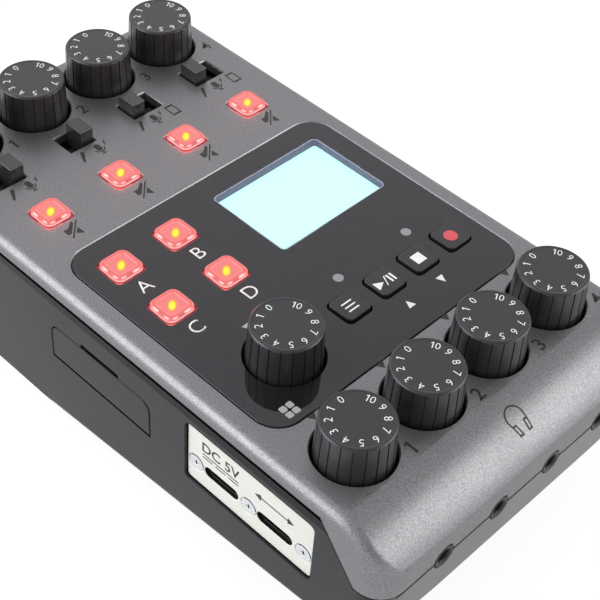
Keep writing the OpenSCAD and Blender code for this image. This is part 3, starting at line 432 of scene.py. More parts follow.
def new_material(name):
    material = bpy.data.materials.new(name)
    material.use_nodes = True
    return material, material.node_tree, material.node_tree.nodes["Principled BSDF"]


def colour(level, tint=PLAIN):
    return (level * tint[0], level * tint[1], level * tint[2], 1)


# Camera, light and floor

def place_camera():
    data = bpy.data.cameras.new("camera")
    data.lens = CAMERA_LENS
    data.sensor_width = 36
    camera = bpy.data.objects.new("camera", data)
    bpy.context.scene.collection.objects.link(camera)
    aim = (CAMERA_AIM - CAMERA_AT).to_track_quat("-Z", "Y").to_matrix().to_4x4()
    place = Matrix.Translation(CAMERA_AT + Vector((0, 0, TOP)))
    camera.matrix_world = place @ aim @ Matrix.Rotation(CAMERA_ROLL, 4, "Z")
    bpy.context.scene.camera = camera


def seen_directly(tree):
    """1 for rays from the camera, a reflection or a pane, and 0 for light that falls on things."""
    path = tree.nodes.new("ShaderNodeLightPath").outputs
    first = larger(tree, path["Is Camera Ray"], path["Is Glossy Ray"])
    return larger(tree, first, path["Is Transmission Ray"])


def light_world():
    """White studio, brighter towards the rear and dimmer overhead. The camera sees plain white."""
    world = bpy.data.worlds.new("white_studio")
    bpy.context.scene.world = world
    world.use_nodes = True
    tree = world.node_tree
    path = tree.nodes.new("ShaderNodeLightPath").outputs
    way = output(tree, "TexCoord", port="Generated")
    slope = output(tree, "VectorMath", {0: way, 1: SKY_SLOPE}, "Value", operation="DOT_PRODUCT")
    sky = output(tree, "Math", {0: slope, 1: SKY_LEVEL}, operation="ADD")
    share = output(tree, "MapRange", {"Value": path["Is Glossy Ray"], "To Min": SKY_FILL, "To Max": 1.0},
                   "Result")
    falling = output(tree, "Math", {0: sky, 1: share}, operation="MULTIPLY")
    seen = larger(tree, path["Is Camera Ray"], path["Is Transmission Ray"])
    strength = output(tree, "Mix", {"Factor": seen, "A": falling, "B": 1.0}, "Result")
    fill(tree, tree.nodes["Background"], {"Color": (1, 1, 1, 1), "Strength": strength})


def soft_box(name, direction, height, radiance, tint=PLAIN):
    """Flat lamp facing the object from a direction, as bright per area as radiance says."""
    data = bpy.data.lights.new(name, "AREA")
    data.shape = "RECTANGLE"
    data.size = LAMP_WIDTH
    data.size_y = height
    data.energy = radiance * math.pi * LAMP_WIDTH * height
    data.color = tint
    lamp = bpy.data.objects.new(name, data)
    bpy.context.scene.collection.objects.link(lamp)
    towards = Vector(direction).normalized()
    aim = (-towards).to_track_quat("-Z", "Y").to_matrix().to_4x4()
    lamp.matrix_world = Matrix.Translation(towards * LAMP_DISTANCE) @ aim


def lay_floor():
    bpy.ops.mesh.primitive_plane_add(size=FLOOR_SIZE, location=(0, 0, 0))
    floor = bpy.context.object
    floor.name = "floor"
    material, tree, shader = new_material("floor_white")
    lift = output(tree, "MapRange", {"Value": seen_directly(tree), "To Max": FLOOR_LIFT}, "Result")
    fill(tree, shader, {"Base Color": colour(FLOOR_TONE), "Roughness": 0.9, "Specular IOR Level": 0.0,
                        "Emission Color": (1, 1, 1, 1), "Emission Strength": lift})
    floor.data.materials.append(material)


# Materials

def grain_group():
    """Fine two-tone grain, with its height for a bump."""
    group, given, outlet = new_group(
        "fine_grain", {"Dark": "Color", "Light": "Color", "Scale": "Float", "Contrast": "Float"},
        {"Color": "Color", "Height": "Float"})
    place = output(group, "TexCoord", port="Object")
    noise = output(group, "TexNoise", {"Vector": place, "Scale": given["Scale"], "Detail": 1.5,
                                       "Roughness": 0.6}, "Fac")
    centred = output(group, "Math", {0: noise, 1: 0.5}, operation="SUBTRACT")
    spread = output(group, "Math", {0: centred, 1: given["Contrast"], 2: 0.5}, operation="MULTIPLY_ADD",
                    use_clamp=True)
    mix = output(group, "Mix", {"Factor": spread, "A": given["Dark"], "B": given["Light"]}, "Result",
                 data_type="RGBA")
    fill(group, outlet, {"Color": mix, "Height": spread})
    return group


def smudge_group():
    """Slow change of gloss, as left by handling."""
    group, given, outlet = new_group("handling", {"Scale": "Float", "Low": "Float", "High": "Float"},
                                     {"Roughness": "Float"})
    place = output(group, "TexCoord", port="Object")
    noise = output(group, "TexNoise", {"Vector": place, "Scale": given["Scale"], "Detail": 3}, "Fac")
    spread = output(group, "MapRange", {"Value": noise, "From Min": 0.3, "From Max": 0.7,
                                        "To Min": given["Low"], "To Max": given["High"]}, "Result")
    fill(group, outlet, {"Roughness": spread})
    return group


GRAIN = grain_group()
HANDLING = smudge_group()


def finish_of(name, dark, light, grain, gloss, tint=PLAIN, contrast=2.5, bump=0, handling=20, **sockets):
    """Grainy finish between two tinted greys or two colours. gloss is the lowest and highest roughness.

    The size of a speck (grain), its height (bump) and the size of a smudge (handling) are in mm.
    """
    dark, light = (colour(1, tone) if isinstance(tone, tuple) else colour(tone, tint)
                   for tone in (dark, light))
    material, tree, shader = new_material(name)
    specks = placed(tree, GRAIN, {"Dark": dark, "Light": light, "Scale": 1 / (grain * MM),
                                  "Contrast": contrast})
    wear = placed(tree, HANDLING, {"Scale": 1 / (handling * MM), "Low": gloss[0], "High": gloss[1]})
    fill(tree, shader, {"Base Color": specks["Color"], "Roughness": wear["Roughness"]})
    if bump:
        relief = output(tree, "Bump", {"Distance": bump * MM, "Height": specks["Height"]}, "Normal")
        fill(tree, shader, {"Normal": relief})
    fill(tree, shader, {socket.replace("_", " "): value for socket, value in sockets.items()})
    return material


def lens_finish(name, map_name, stops):
    """Glossy red lens that glows. The lens's own map gives the place on a ramp of (place, colour) stops."""
    material, tree, shader = new_material(name)
    spot = output(tree, "UVMap", port="UV", uv_map=map_name)
    way = output(tree, "VectorMath", {0: spot}, "Value", operation="LENGTH")
    ramp = tree.nodes.new("ShaderNodeValToRGB")
    marks = ramp.color_ramp.elements
    for k, (place, shade) in enumerate(stops):
        mark = marks[k] if k < 2 else marks.new(place)
        mark.position = place
        mark.color = (*shade, 1)
    fill(tree, ramp, {"Fac": way})
    direct = output(tree, "LightPath", port="Is Camera Ray")
    spill = output(tree, "MapRange", {"Value": direct, "To Min": LENS_SPILL, "To Max": 1.0}, "Result")
    fill(tree, shader, {"Base Color": (0.14, 0.012, 0.012, 1), "Roughness": 0.22,
                        "Emission Color": ramp.outputs["Color"], "Emission Strength": spill})
    return material


def display_glow():
    """Blank lit display, a little brighter in places."""
    material, tree, shader = new_material("display_glow")
    specks = placed(tree, GRAIN, {"Dark": (0.53, 0.97, 0.93, 1), "Light": (0.59, 1.0, 0.97, 1),
                                  "Scale": 1 / (14 * MM), "Contrast": 1.5})
    fill(tree, shader, {"Base Color": (0.3, 0.42, 0.41, 1), "Roughness": 0.35,
                        "Emission Color": specks["Color"], "Emission Strength": 0.85})
    return material


def clear_pane():
    material, tree, shader = new_material("clear_pane")
    fill(tree, shader, {"Base Color": (0.97, 1.0, 1.0, 1), "Transmission Weight": 1.0, "IOR": 1.2,
                        "Roughness": 0.0})
    return material


MAUVE = (1, 0.968, 1.025)
MAUVE_GLOSS = (0.93, 0.90, 1.0, 1)
SLATE = (0.94, 1, 1.14)
SAGE = (0.96, 1.02, 1.0)
COOL = (0.97, 1, 1.04)
shell_paint = finish_of("metallic_grey_paint", 0.15, 0.36, 0.32, (0.36, 0.42), MAUVE, contrast=1.8,
                        bump=0.012, Metallic=0.75, Specular_Tint=colour(0.6))
# Brighter metal for the shell's front-facing rim chamfers: a painted highlight
rim_painted_highlight = finish_of("painted_highlight_rim", 0.36, 0.44, 0.32, (0.30, 0.38), MAUVE, Metallic=0.8)
case_plastic = finish_of("dark_grey_moulding", 0.008, 0.013, 0.25, (0.26, 0.32), SLATE, bump=0.006,
                         Specular_IOR_Level=0.26, Specular_Tint=(0.90, 0.93, 1.0, 1))
# The case's front faces: the same moulding painted much paler, as painted light from the front
case_front_painted_light = finish_of("painted_lit_front_grey", 0.115, 0.135, 0.25, (0.30, 0.36), SAGE, bump=0.006)
panel_acrylic = finish_of("polished_black_acrylic", 0.012, 0.016, 3, (0.03, 0.07), MAUVE, handling=35,
                          Specular_IOR_Level=0.65, Specular_Tint=MAUVE_GLOSS)
knob_plastic = finish_of("black_satin_plastic", 0.020, 0.032, 0.16, (0.25, 0.34), MAUVE, bump=0.006,
                         Specular_IOR_Level=0.6, Specular_Tint=MAUVE_GLOSS)
key_rubber = finish_of("dark_grey_rubber", 0.026, 0.034, 0.14, (0.40, 0.50), MAUVE, bump=0.008,
                       Specular_Tint=MAUVE_GLOSS)
switch_plastic = finish_of("switch_grey_plastic", 0.020, 0.030, 0.18, (0.16, 0.24), MAUVE, bump=0.004,
                           Specular_IOR_Level=0.7)
# Paler grey for the switch caps' top bevels: a painted highlight
switch_edge_highlight = finish_of("switch_painted_highlight_edge", 0.13, 0.17, 0.18, (0.25, 0.35), MAUVE)
slot_grey = finish_of("switch_body_grey", (0.14, 0.11, 0.11), (0.17, 0.14, 0.14), 0.3, (0.45, 0.6))
plate_cream = finish_of("cream_satin_plastic", (0.90, 0.91, 0.85), (0.95, 0.96, 0.90), 0.5, (0.32, 0.42),
                        bump=0.004)
foot_rubber = finish_of("black_rubber", 0.012, 0.022, 0.2, (0.7, 0.85), bump=0.02)
# Black for the black plastic parts, and also painted shade on the plate's port walls and the keys' sides
connector_black = finish_of("connector_black", 0.006, 0.010, 0.3, (0.45, 0.6), bump=0.006)
# Flat black as painted shade in the case's seam groove, the screws' cross recesses and arcs above the screw
# heads
painted_shade_black = finish_of("painted_black_shade", 0.003, 0.005, 0.3, (0.8, 0.9), Specular_IOR_Level=0.1)
connector_steel = finish_of("nickel_plated_steel", 0.42, (0.52, 0.52, 0.5304), 0.4, (0.22, 0.34),
                            Metallic=1.0)
port_steel = finish_of("blackened_steel", 0.020, 0.028, 0.4, (0.4, 0.5), Metallic=0.6)
screw_steel = finish_of("bright_plated_steel", 0.70, 0.82, 0.3, (0.30, 0.40), COOL, Metallic=1.0)
pot_metal = finish_of("stamped_steel", 0.08, 0.12, 0.5, (0.4, 0.5), Metallic=0.8)
contact_brass = finish_of("plated_brass", (0.62, 0.44, 0.16), (0.74, 0.54, 0.22), 0.4, (0.2, 0.32),
                          Metallic=1.0)
board_green = finish_of("circuit_board", (0.006, 0.025, 0.014), (0.010, 0.036, 0.020), 1.5, (0.3, 0.4))
display_frame = finish_of("display_frame", 0.10, 0.13, 1, (0.4, 0.5), (0.9, 0.95, 1.3))
bezel_blue = finish_of("bezel_blue_grey", (0.13, 0.12, 0.20), (0.15, 0.14, 0.23), 1, (0.4, 0.5))
# Paler edge of the display's frame: a painted highlight
bezel_highlight = finish_of("bezel_painted_highlight", (0.42, 0.42, 0.56), (0.48, 0.48, 0.62), 1, (0.3, 0.4))
lens_grey = finish_of("indicator_grey", 0.30, 0.34, 0.4, (0.12, 0.2), MAUVE)
shaft_metal = finish_of("turned_metal", 0.5, 0.62, 0.3, (0.25, 0.35), Metallic=1.0)
ink_white = finish_of("white_ink", 0.90, 0.96, 0.25, (0.5, 0.6))
ink_grey = finish_of("pale_grey_ink", 0.45, 0.52, 0.25, (0.5, 0.6))
ink_dark = finish_of("dark_ink", 0.020, 0.028, 0.25, (0.5, 0.6))
ink_red = finish_of("red_ink", (0.68, 0.09, 0.11), (0.74, 0.10, 0.12), 0.25, (0.45, 0.55))
# A lens glows by depth on its rim, by the way along its front chamfer, and by the way from its lamp inside.
# The paler chamfer round the top, the pale pink bands on its front and the collar's paler front corner are
# painted highlights.
lens_rim = lens_finish("lit_red_rim", "depth",
                       [(0.0, (0.74, 0.16, 0.15)), (1.0, (0.20, 0.010, 0.020)), (0.30, (0.74, 0.165, 0.155)),
                        (0.46, (0.82, 0.26, 0.25)), (0.62, (0.95, 0.54, 0.52)), (0.80, (0.95, 0.50, 0.48)),
                        (0.90, (0.20, 0.010, 0.020))])
lens_front_highlight = lens_finish("lit_red_front_painted_highlight", "edge",
                         [(0.0, (0.80, 0.14, 0.14)), (1.0, (0.97, 0.50, 0.48)), (0.20, (0.82, 0.16, 0.16)),
                          (0.30, (1.0, 0.62, 0.60)), (0.42, (1.0, 0.60, 0.58)), (0.49, (0.55, 0.05, 0.06)),
                          (0.68, (0.58, 0.06, 0.07)), (0.77, (0.98, 0.52, 0.50))])
lens_edge_highlight = lens_finish("lit_red_edge_painted_highlight", "depth",
                        [(0.0, (0.82, 0.29, 0.28)), (1.0, (0.74, 0.17, 0.16))])
lens_middle = lens_finish("lit_red_middle", "glow",
                          [(0.0, (1.0, 0.95, 0.05)), (1.0, (0.76, 0.205, 0.20)), (0.42, (1.0, 0.86, 0.03)),
                           (0.56, (0.72, 0.44, 0.02)), (0.72, (0.77, 0.23, 0.18))])
glow_face = display_glow()
pane_clear = clear_pane()


# Casing

def skin_block(low, high):
    """Outer block of the casing with its round upright corners, a hair inside the frame's faces."""
    inset = Vector((SKIN_INSET, SKIN_INSET, SKIN_INSET))
    return add_rounded_block(low + inset, high - inset, CORNER_R, CORNER_STEPS)


def roll_fall(y):
    """How far the top has dropped at a place along the body."""
    roll_y = shell_low.y + math.sqrt(ROLL_R ** 2 - (ROLL_R - ROLL_DROP) ** 2)
    run = max(0.0, roll_y - y)
    return ROLL_R - math.sqrt(max(0.0, ROLL_R ** 2 - run ** 2))


def top_shell_piece():
    low = Vector((shell_low.x, shell_low.y, case_low.z))
    skin = skin_block(low, shell_high)
    front = low.y + SKIN_INSET
    corner_turns = [math.pi / 2 * k / CORNER_STEPS for k in range(1, CORNER_STEPS + 1)]
    corner_rows = [CORNER_R * (1 - math.cos(turn)) for turn in corner_turns]
    roll_rows = [CORNER_R + step * MM for step in (1.4, 2.8, 4.1, 5.4, 6.7, 9.1)]
    for row in corner_rows + roll_rows:
        cut(skin, (0, front + row, 0), (0, 1, 0))
    half_way = (low.z + shell_high.z) / 2
    for vertex in skin.data.vertices:
        if vertex.co.z > half_way:
            vertex.co.z -= roll_fall(vertex.co.y)
    round_top_edge(skin, half_way)
    boolean(skin, "INTERSECT", cad_copy("top_shell"))
    shell = stand_in(soften(skin, SHELL_BEVEL, 1), "top_shell", shell_paint)
    rim_low = TOP - SHELL_BEVEL - 2 * SKIN_INSET
    mute_y = middle("mute_button_1").y

    # Front-facing chamfers along the top get the brighter metal: a painted highlight
    def on_rim(place, normal):
        faces_front = normal.y < -0.5 and 0.5 < normal.z < 0.85
        return faces_front and place.z > rim_low and abs(place.y - mute_y) > RIM_CLEAR
    recolour(shell, rim_painted_highlight, on_rim)


def round_top_edge(skin, half_way):
    """Rounds the edge between the top and the walls, less and less towards the front crease."""
    def share(a, b):
        if min(a.z, b.z) < half_way:
            return 0.0
        turn = (shell_low.y + CORNER_R - (a.y + b.y) / 2) / CORNER_R
        return 1 - (1 - FRONT_CREASE_SHARE) * min(1.0, max(0.0, turn))
    weigh_edges(skin, math.radians(15), share)
    use_modifier(skin, "BEVEL", width=EDGE_R, segments=EDGE_STEPS, limit_method="WEIGHT",
                 use_clamp_overlap=False)


def bottom_case_piece():
    skin = skin_block(case_low, Vector((case_high.x, case_high.y, shell_high.z)))
    chin_top = Vector((0, case_low.y, shell_high.z - CHIN_FACE_H))
    chin_run = Vector((0, CHIN_D, case_low.z - chin_top.z)).normalized()
    inward = Vector((0, -chin_run.z, chin_run.y))
    cut(skin, chin_top + inward * SKIN_INSET, inward, use_fill=True, clear_inner=True)
    low_edge = case_low.z + SKIN_INSET * 2

    def at_foot(a, b):
        return max(a.z, b.z) < low_edge or on_chin_side(a, b, chin_top, inward)
    round_edges(skin, at_foot, FOOT_EDGE_R, EDGE_STEPS, clamp_overlap=False)
    boolean(skin, "INTERSECT", cad_copy("bottom_case"))
    round_edges(skin, at_hull, HULL_BEVEL, 4, clamp_overlap=False)
    case = stand_in(soften(skin, RIM_BEVEL, spare=at_cover_hinge), "bottom_case", case_plastic)

    # Faces inside the groove under the shell's side edges are painted black: painted shade
    def in_seam(place, normal):
        depth = case_high.x - abs(place.x)
        below = case_high.z - place.z
        return SEAM_DEPTH / 3 < depth < SEAM_DEPTH * 1.05 and RIM_BEVEL / 2 < below < SEAM_H * 1.05
    recolour(case, painted_shade_black, in_seam)
    # Faces looking to the front get the paler grey: painted light
    recolour(case, case_front_painted_light, lambda place, normal: normal.y < -0.6 and place.y < case_low.y + CHIN_D)


def at_hull(a, b):
    """A long low edge where a side wall meets the slanting hull."""
    out = min(abs(a.x), abs(b.x)) > case_high.x - 3 * SKIN_INSET
    low = max(a.z, b.z) < case_low.z + HULL_H
    return out and low and abs(a.y - b.y) > 3 * MM


def at_cover_hinge(a, b):
    """An outer edge along the line where the card cover folds down."""
    low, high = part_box("card_cover")
    reach = COVER_EDGE_REACH

    def near(place):
        along = low.y - reach.y < place.y < high.y + reach.y
        return along and abs(place.z - low.z) < reach.z and place.x < low.x + reach.x
    return near(a) and near(b)


def on_chin_side(a, b, chin_top, inward):
    """An edge in the chin's plane, away from its two level edges."""
    level = abs(a.z - b.z) < SKIN_INSET
    in_plane = max(abs((p - chin_top).dot(inward)) for p in (a, b)) < 2 * SKIN_INSET
    return in_plane and not level


# Knobs

def knob_form(node):
    """A knob as moulded: fluted skirt, chamfered lands and a dished top."""
    low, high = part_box(node)
    centre = middle(node)
    base_r = (high.x - low.x) / 2 + KNOB_FLARE
    top_r = base_r - KNOB_TAPER
    columns = FLUTES * COLUMNS_PER_FLUTE
    bpy.ops.object.select_all(action="DESELECT")
    bpy.ops.mesh.primitive_cylinder_add(vertices=columns, radius=base_r, depth=high.z - low.z,
                                        location=centre, end_fill_type="NGON")
    knob = added()
    axis = Vector((centre.x, centre.y, 0))
    for vertex in knob.data.vertices:
        if vertex.co.z > centre.z:
            flat = Vector((vertex.co.x, vertex.co.y, 0)) - axis
            vertex.co.x, vertex.co.y = (axis + flat * (top_r / base_r)).xy
            vertex.co.z = high.z - KNOB_CHAMFER
    pick(knob, "FACE", lambda place, normal: normal.z > 0.9)
    bpy.ops.mesh.extrude_region_move(TRANSFORM_OT_translate={"value": (0, 0, KNOB_CHAMFER)})
    shrink = (top_r - KNOB_CHAMFER) / top_r
    bpy.ops.transform.resize(value=(shrink, shrink, 1), center_override=(centre.x, centre.y, high.z))
    bpy.ops.mesh.inset(thickness=KNOB_RIM)
    bpy.ops.mesh.inset(thickness=KNOB_DISH_SLOPE, depth=-KNOB_DISH)
    done()
    cut_flutes(knob, axis, columns)
    return soften(knob, KNOB_EDGE, 2, math.radians(25))


def cut_flutes(knob, axis, columns):
    """Sinks narrow upright grooves between the lands of the skirt."""
    def in_flute(place, normal):
        if abs(normal.z) > 0.3:
            return False
        way = place - axis
        column = math.floor(math.atan2(way.y, way.x) / (2 * math.pi) * columns)
        return column % COLUMNS_PER_FLUTE == 0
    pick(knob, "FACE", in_flute)
    bpy.ops.mesh.extrude_region_shrink_fatten(TRANSFORM_OT_shrink_fatten={"value": -FLUTE_DEPTH})
    done()


def text_mesh(words, height, weight=PRINT_WEIGHT):
    """Lettering as a flat mesh about the origin, as tall as height."""
    bpy.ops.object.select_all(action="DESELECT")
    bpy.ops.object.text_add(location=(0, 0, 0))
    text = bpy.context.object
    text.data.body = words
    text.data.size = 1
    text.data.resolution_u = 4
    text.data.offset = weight
    bpy.ops.object.convert(target="MESH")
    text = bpy.context.object
    places = [vertex.co for vertex in text.data.vertices]
    low = Vector([min(p[k] for p in places) for k in range(3)])
    high = Vector([max(p[k] for p in places) for k in range(3)])
    text.data.transform(Matrix.Translation(-(low + high) / 2))
    text.data.transform(Matrix.Scale(height / (high.y - low.y), 4))
    return text


def numeral(words, height, weight=PRINT_WEIGHT):
    """A whole number. A one is drawn as a stem with a flag."""
    stem = height * (0.075 + weight)
    flag = [(-stem, -height / 2), (stem, -height / 2), (stem, height / 2), (-stem / 2, height / 2),
            (-0.26 * height, 0.36 * height), (-0.26 * height, 0.23 * height), (-stem, 0.34 * height)]
    parts = [plate_of(flag) if figure == "1" else text_mesh(figure, height, weight) for figure in words]
    pitch = 0.62 * height
    for k, part in enumerate(parts):
        part.data.transform(Matrix.Translation(((k - (len(parts) - 1) / 2) * pitch, 0, 0)))
    return joined(parts)


def layered(parts):
    """Flat shapes in one mesh, each a hair above the one before."""
    for k, part in enumerate(parts):
        part.data.transform(Matrix.Translation((0, 0, k * INK_T / 10)))
    return joined(parts)


def thicken(flat):
    """Gives a flat shape the thickness of ink."""
    use_modifier(flat, "SOLIDIFY", thickness=INK_T, offset=1)


def inked(parts, at, name, material, body="casing", turn=0.0):
    """Joins flat shapes, thickens them and lays them on a surface."""
    obj = layered(parts)
    pick(obj, "VERT", everything)
    bpy.ops.mesh.remove_doubles(threshold=MM / 2000)
    done()
    thicken(obj)
    obj.data.transform(Matrix.Translation(at) @ Matrix.Rotation(turn, 4, "Z"))
    return settle(obj, name, body, material)


def dial_figures():
    """The ring of figures on a knob's top, about the origin, with the first one on the +X side."""
    parts = []
    for figure in range(FIGURES):
        digit = numeral(str(figure), FIGURE_H, FIGURE_WEIGHT)
        around = Matrix.Rotation(figure * FIGURE_STEP, 4, "Z")
        outward = Matrix.Translation((FIGURE_RING_R, 0, 0)) @ Matrix.Rotation(-math.pi / 2, 4, "Z")
        digit.data.transform(around @ outward)
        parts.append(digit)
    return joined(parts)


def knob_pieces():
    nodes = [f"{row}_knob_{i}" for row in ("gain", "phones") for i in CHANNELS] + ["pad_knob"]
    first = knob_form(nodes[0])
    ring = dial_figures()
    start = middle(nodes[0])
    for node in nodes:
        knob = duplicate(first, Matrix.Translation(middle(node) - start))
        stand_in(knob, node, knob_plastic)
        lead = REST_LEAD.get(node, REST_LEAD_OTHERS)
        dish_z = top_of(node) - KNOB_DISH - INK_T / 4
        inked([duplicate(ring, Matrix.Identity(4))], Vector((*middle(node).xy, dish_z)),
              "figures_on_" + node, ink_white, body_of[node], math.radians(90 - lead))
    bpy.data.objects.remove(first)
    bpy.data.objects.remove(ring)


# Buttons and switches

def glow_maps(lens, centre, half, top):
    """Maps the lens by the way from its lamp, the depth below its top and the way along a front edge."""
    glow = lens.data.uv_layers.new(name="glow")
    depth = lens.data.uv_layers.new(name="depth")
    edge = lens.data.uv_layers.new(name="edge")
    for face in lens.data.polygons:
        front = face.normal.y < face.normal.x
        for k in face.loop_indices:
            place = lens.data.vertices[lens.data.loops[k].vertex_index].co
            way = place - centre
            spot = way - LAMP_AT
            along = (spot.x + spot.y) / math.sqrt(2) / (LAMP_LONG * LAMP_REACH)
            across = (spot.x - spot.y) / math.sqrt(2) / (LAMP_SHORT * LAMP_REACH)
            glow.data[k].uv = (along, across)
            depth.data[k].uv = ((top - place.z) / LENS_GLOW_DEPTH, 0)
            share = way.x / half.x if front else way.y / half.y
            edge.data[k].uv = ((1 - share) / 2, 0)


def lit_button(node):
    """Red lens on its collar: rounded block with chamfered edges and a sunk square in its top."""
    low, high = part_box(node)
    foot, head = low + Vector((FLANGE, FLANGE, 0)), high - Vector((FLANGE, FLANGE, 0))
    foot.z = TOP - LENS_SUNK
    half = (head - foot) / 2
    lens = add_rounded_block(foot, head, LENS_CORNER_R, 6)
    round_edges(lens, lambda a, b: min(a.z, b.z) > head.z - SKIN_INSET, LENS_CHAMFER, 1)
    pick(lens, "FACE", lambda place, normal: normal.z > 0.99)
    bpy.ops.mesh.inset(thickness=LENS_RIM)
    bpy.ops.mesh.inset(thickness=LENS_SLOPE, depth=-LENS_DISH)
    done()
    soften(lens, LENS_EDGE, 2, math.radians(20))
    out = Vector((COLLAR_OUT, COLLAR_OUT, 0))
    collar_head = Vector((head.x, head.y, TOP - COLLAR_DROP))
    collar = add_rounded_block(foot - out, collar_head + out, COLLAR_R, 4)
    cut(collar, middle(node) - half * COLLAR_LIT_FROM, (1, 1, 0))
    joined([lens, collar])
    glow_maps(lens, middle(node), half, head.z)
    stand_in(lens, node, lens_rim)

    def at_edge(place, normal):
        way = place - middle(node)
        out = max(abs(way.x) - half.x, abs(way.y) - half.y) > -LENS_CHAMFER
        return out and place.z > TOP and 0.3 < normal.z < 0.95

    def sunk(place, normal):
        return normal.z > 0.5 and TOP < place.z < head.z - LENS_DISH / 2 and not at_edge(place, normal)
    recolour(lens, lens_middle, sunk)

    # The collar's front corner gets the paler edge red: a painted highlight
    def lit_corner(place, normal):
        way = place - middle(node)
        return place.z < TOP and normal.z > 0.9 and (way.x + way.y) < -(half.x + half.y) * COLLAR_LIT_FROM
    # The chamfer round the lens top gets a paler red, and its front-facing part pale pink bands: painted
    # highlights
    recolour(lens, lens_edge_highlight, lambda place, normal: at_edge(place, normal) or lit_corner(place, normal))
    recolour(lens, lens_front_highlight,
             lambda place, normal: at_edge(place, normal) and min(normal.x, normal.y) < -0.25)


def key_cap(node):
    """Rubber key with a slightly crowned top."""
    low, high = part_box(node)
    cap = add_rounded_block((low.x + FLANGE, low.y + FLANGE, TOP - KEY_SUNK),
                            (high.x - FLANGE, high.y - FLANGE, high.z), KEY_CORNER_R, 5)
    pick(cap, "FACE", lambda place, normal: normal.z > 0.9)
    bpy.ops.mesh.inset(thickness=KEY_CROWN)
    done()
    soften(cap, KEY_EDGE, 3)
    stand_in(cap, node, key_rubber)
    # The key's sides get black: painted shade in the gap around the key
    recolour(cap, connector_black, lambda place, normal: normal.z < 0.3)


def switch_cap(node):
    """Slide-switch cap on its stem."""
    low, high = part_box(node)
    foot = TOP - SWITCH_SUNK
    cap = add_block((low.x, low.y, foot), high)
    centre = middle(node)
    stem = add_block((centre.x - SWITCH_STEM, centre.y - SWITCH_STEM, low.z),
                     (centre.x + SWITCH_STEM, centre.y + SWITCH_STEM, foot))
    soften(joined([cap, stem]), SWITCH_EDGE, 3)
    stand_in(cap, node, switch_plastic)
    # The bevel round the cap's top gets the paler grey: a painted highlight
    edge_low = high.z - 0.2 * MM
    recolour(cap, switch_edge_highlight, lambda place, normal: place.z > edge_low and 0.3 < normal.z < 0.95)


# Printed marks

def bar(x, y, length, width, turn=0.0):
    bpy.ops.mesh.primitive_plane_add(size=1, location=(x, y, 0), rotation=(0, 0, turn))
    bpy.context.object.scale = (length, width, 1)
    return added()


def disc(x, y, radius, vertices):
    bpy.ops.mesh.primitive_circle_add(vertices=vertices, radius=radius, fill_type="NGON",
                                      location=(x, y, 0))
    return added()


def plate_of(points):
    """Flat plate with these corners, counter-clockwise."""
    obj = disc(0, 0, MM, len(points))
    for vertex, point in zip(obj.data.vertices, points):
        vertex.co = (*point, 0)
    pick(obj, "FACE", everything)
    bpy.ops.mesh.normals_make_consistent(inside=False)
    done()
    return obj


def arc(x, y, radius, low, high, steps=10):
    turns = [low + (high - low) * k / steps for k in range(steps + 1)]
    return [(x + radius * math.cos(turn), y + radius * math.sin(turn)) for turn in turns]


def hoop(x, y, radius, width, low, high):
    """The part of a ring between two angles."""
    obj = disc(x, y, radius, 48)
    pick(obj, "FACE", everything)
    bpy.ops.mesh.inset(thickness=width)
    bpy.ops.mesh.delete(type="FACE")
    done()
    pick(obj, "FACE", lambda place, normal: not low <= math.atan2(place.y - y, place.x - x) <= high)
    bpy.ops.mesh.delete(type="FACE")
    done()
    return obj


def pointer_mark(width, height, up=False):
    """Triangle about the origin with its point towards +Y, or towards -Y."""
    tip = height / 2 if up else -height / 2
    corners = [(-width / 2, -tip), (width / 2, -tip), (0, tip)]
    return plate_of(corners if up else corners[::-1])


def halves_of(obj, gap, turn):
    """Cuts a clear diagonal gap through a flat shape and keeps both sides."""
    normal = Vector((-math.sin(turn), math.cos(turn), 0))
    other = duplicate(obj, Matrix.Identity(4))
    for part, side in ((obj, 1), (other, -1)):
        cut(part, normal * gap * side, normal * side, MM / 10000, clear_inner=True)
    return [obj, other]


def mute_mark():
    """Loudspeaker cut by a slash through the origin."""
    slash = math.radians(46)
    back, waist, mouth = -2.6 * MM, -1.25 * MM, 1.05 * MM
    neck, cone, rise = 1.0 * MM, 2.75 * MM, 0.15 * MM
    speaker = plate_of([(back, rise - neck), (waist, rise - neck), (mouth, rise - cone), (mouth, rise + cone),
                        (waist, rise + neck), (back, rise + neck)])
    return halves_of(speaker, 0.58 * MM, slash) + [bar(0, 0, 6.6 * MM, 0.4 * MM, slash)]


def microphone_mark():
    """Hand microphone, its head towards the upper right."""
    slant = math.radians(62)
    tail, head, tail_half, head_half = -2.1 * MM, 1.6 * MM, 0.3 * MM, 0.54 * MM
    outline = [(tail, tail_half), (tail, -tail_half)]
    outline += arc(head, 0, head_half, -math.pi / 2, math.pi / 2)
    handle = plate_of(outline)
    handle.data.transform(Matrix.Rotation(slant, 4, "Z"))
    return [handle]


def powered_microphone_mark():
    """Microphone capsule in its holder on a stand, with a bolt beside it."""
    half, reach, line = 0.75 * MM, 0.55 * MM, 0.3 * MM
    capsule = plate_of(arc(0, reach, half, 0, math.pi) + arc(0, -reach, half, math.pi, 2 * math.pi))
    holder = hoop(0, -0.45 * MM, 1.4 * MM, line, -math.pi, -0.05)
    stand = [bar(0, -2.05 * MM, line, 0.5 * MM), bar(0, -2.4 * MM, 1.2 * MM, line)]
    bolt = plate_of([(1.55 * MM, -0.6 * MM), (2.75 * MM, 0.55 * MM), (2.3 * MM, 0.65 * MM),
                     (3.3 * MM, 1.95 * MM), (1.75 * MM, 0.55 * MM), (2.25 * MM, 0.4 * MM)])
    parts = [capsule, holder] + stand + [bolt]
    for part in parts:
        part.data.transform(Matrix.Scale(POWERED_MARK_SCALE, 4))
    return parts


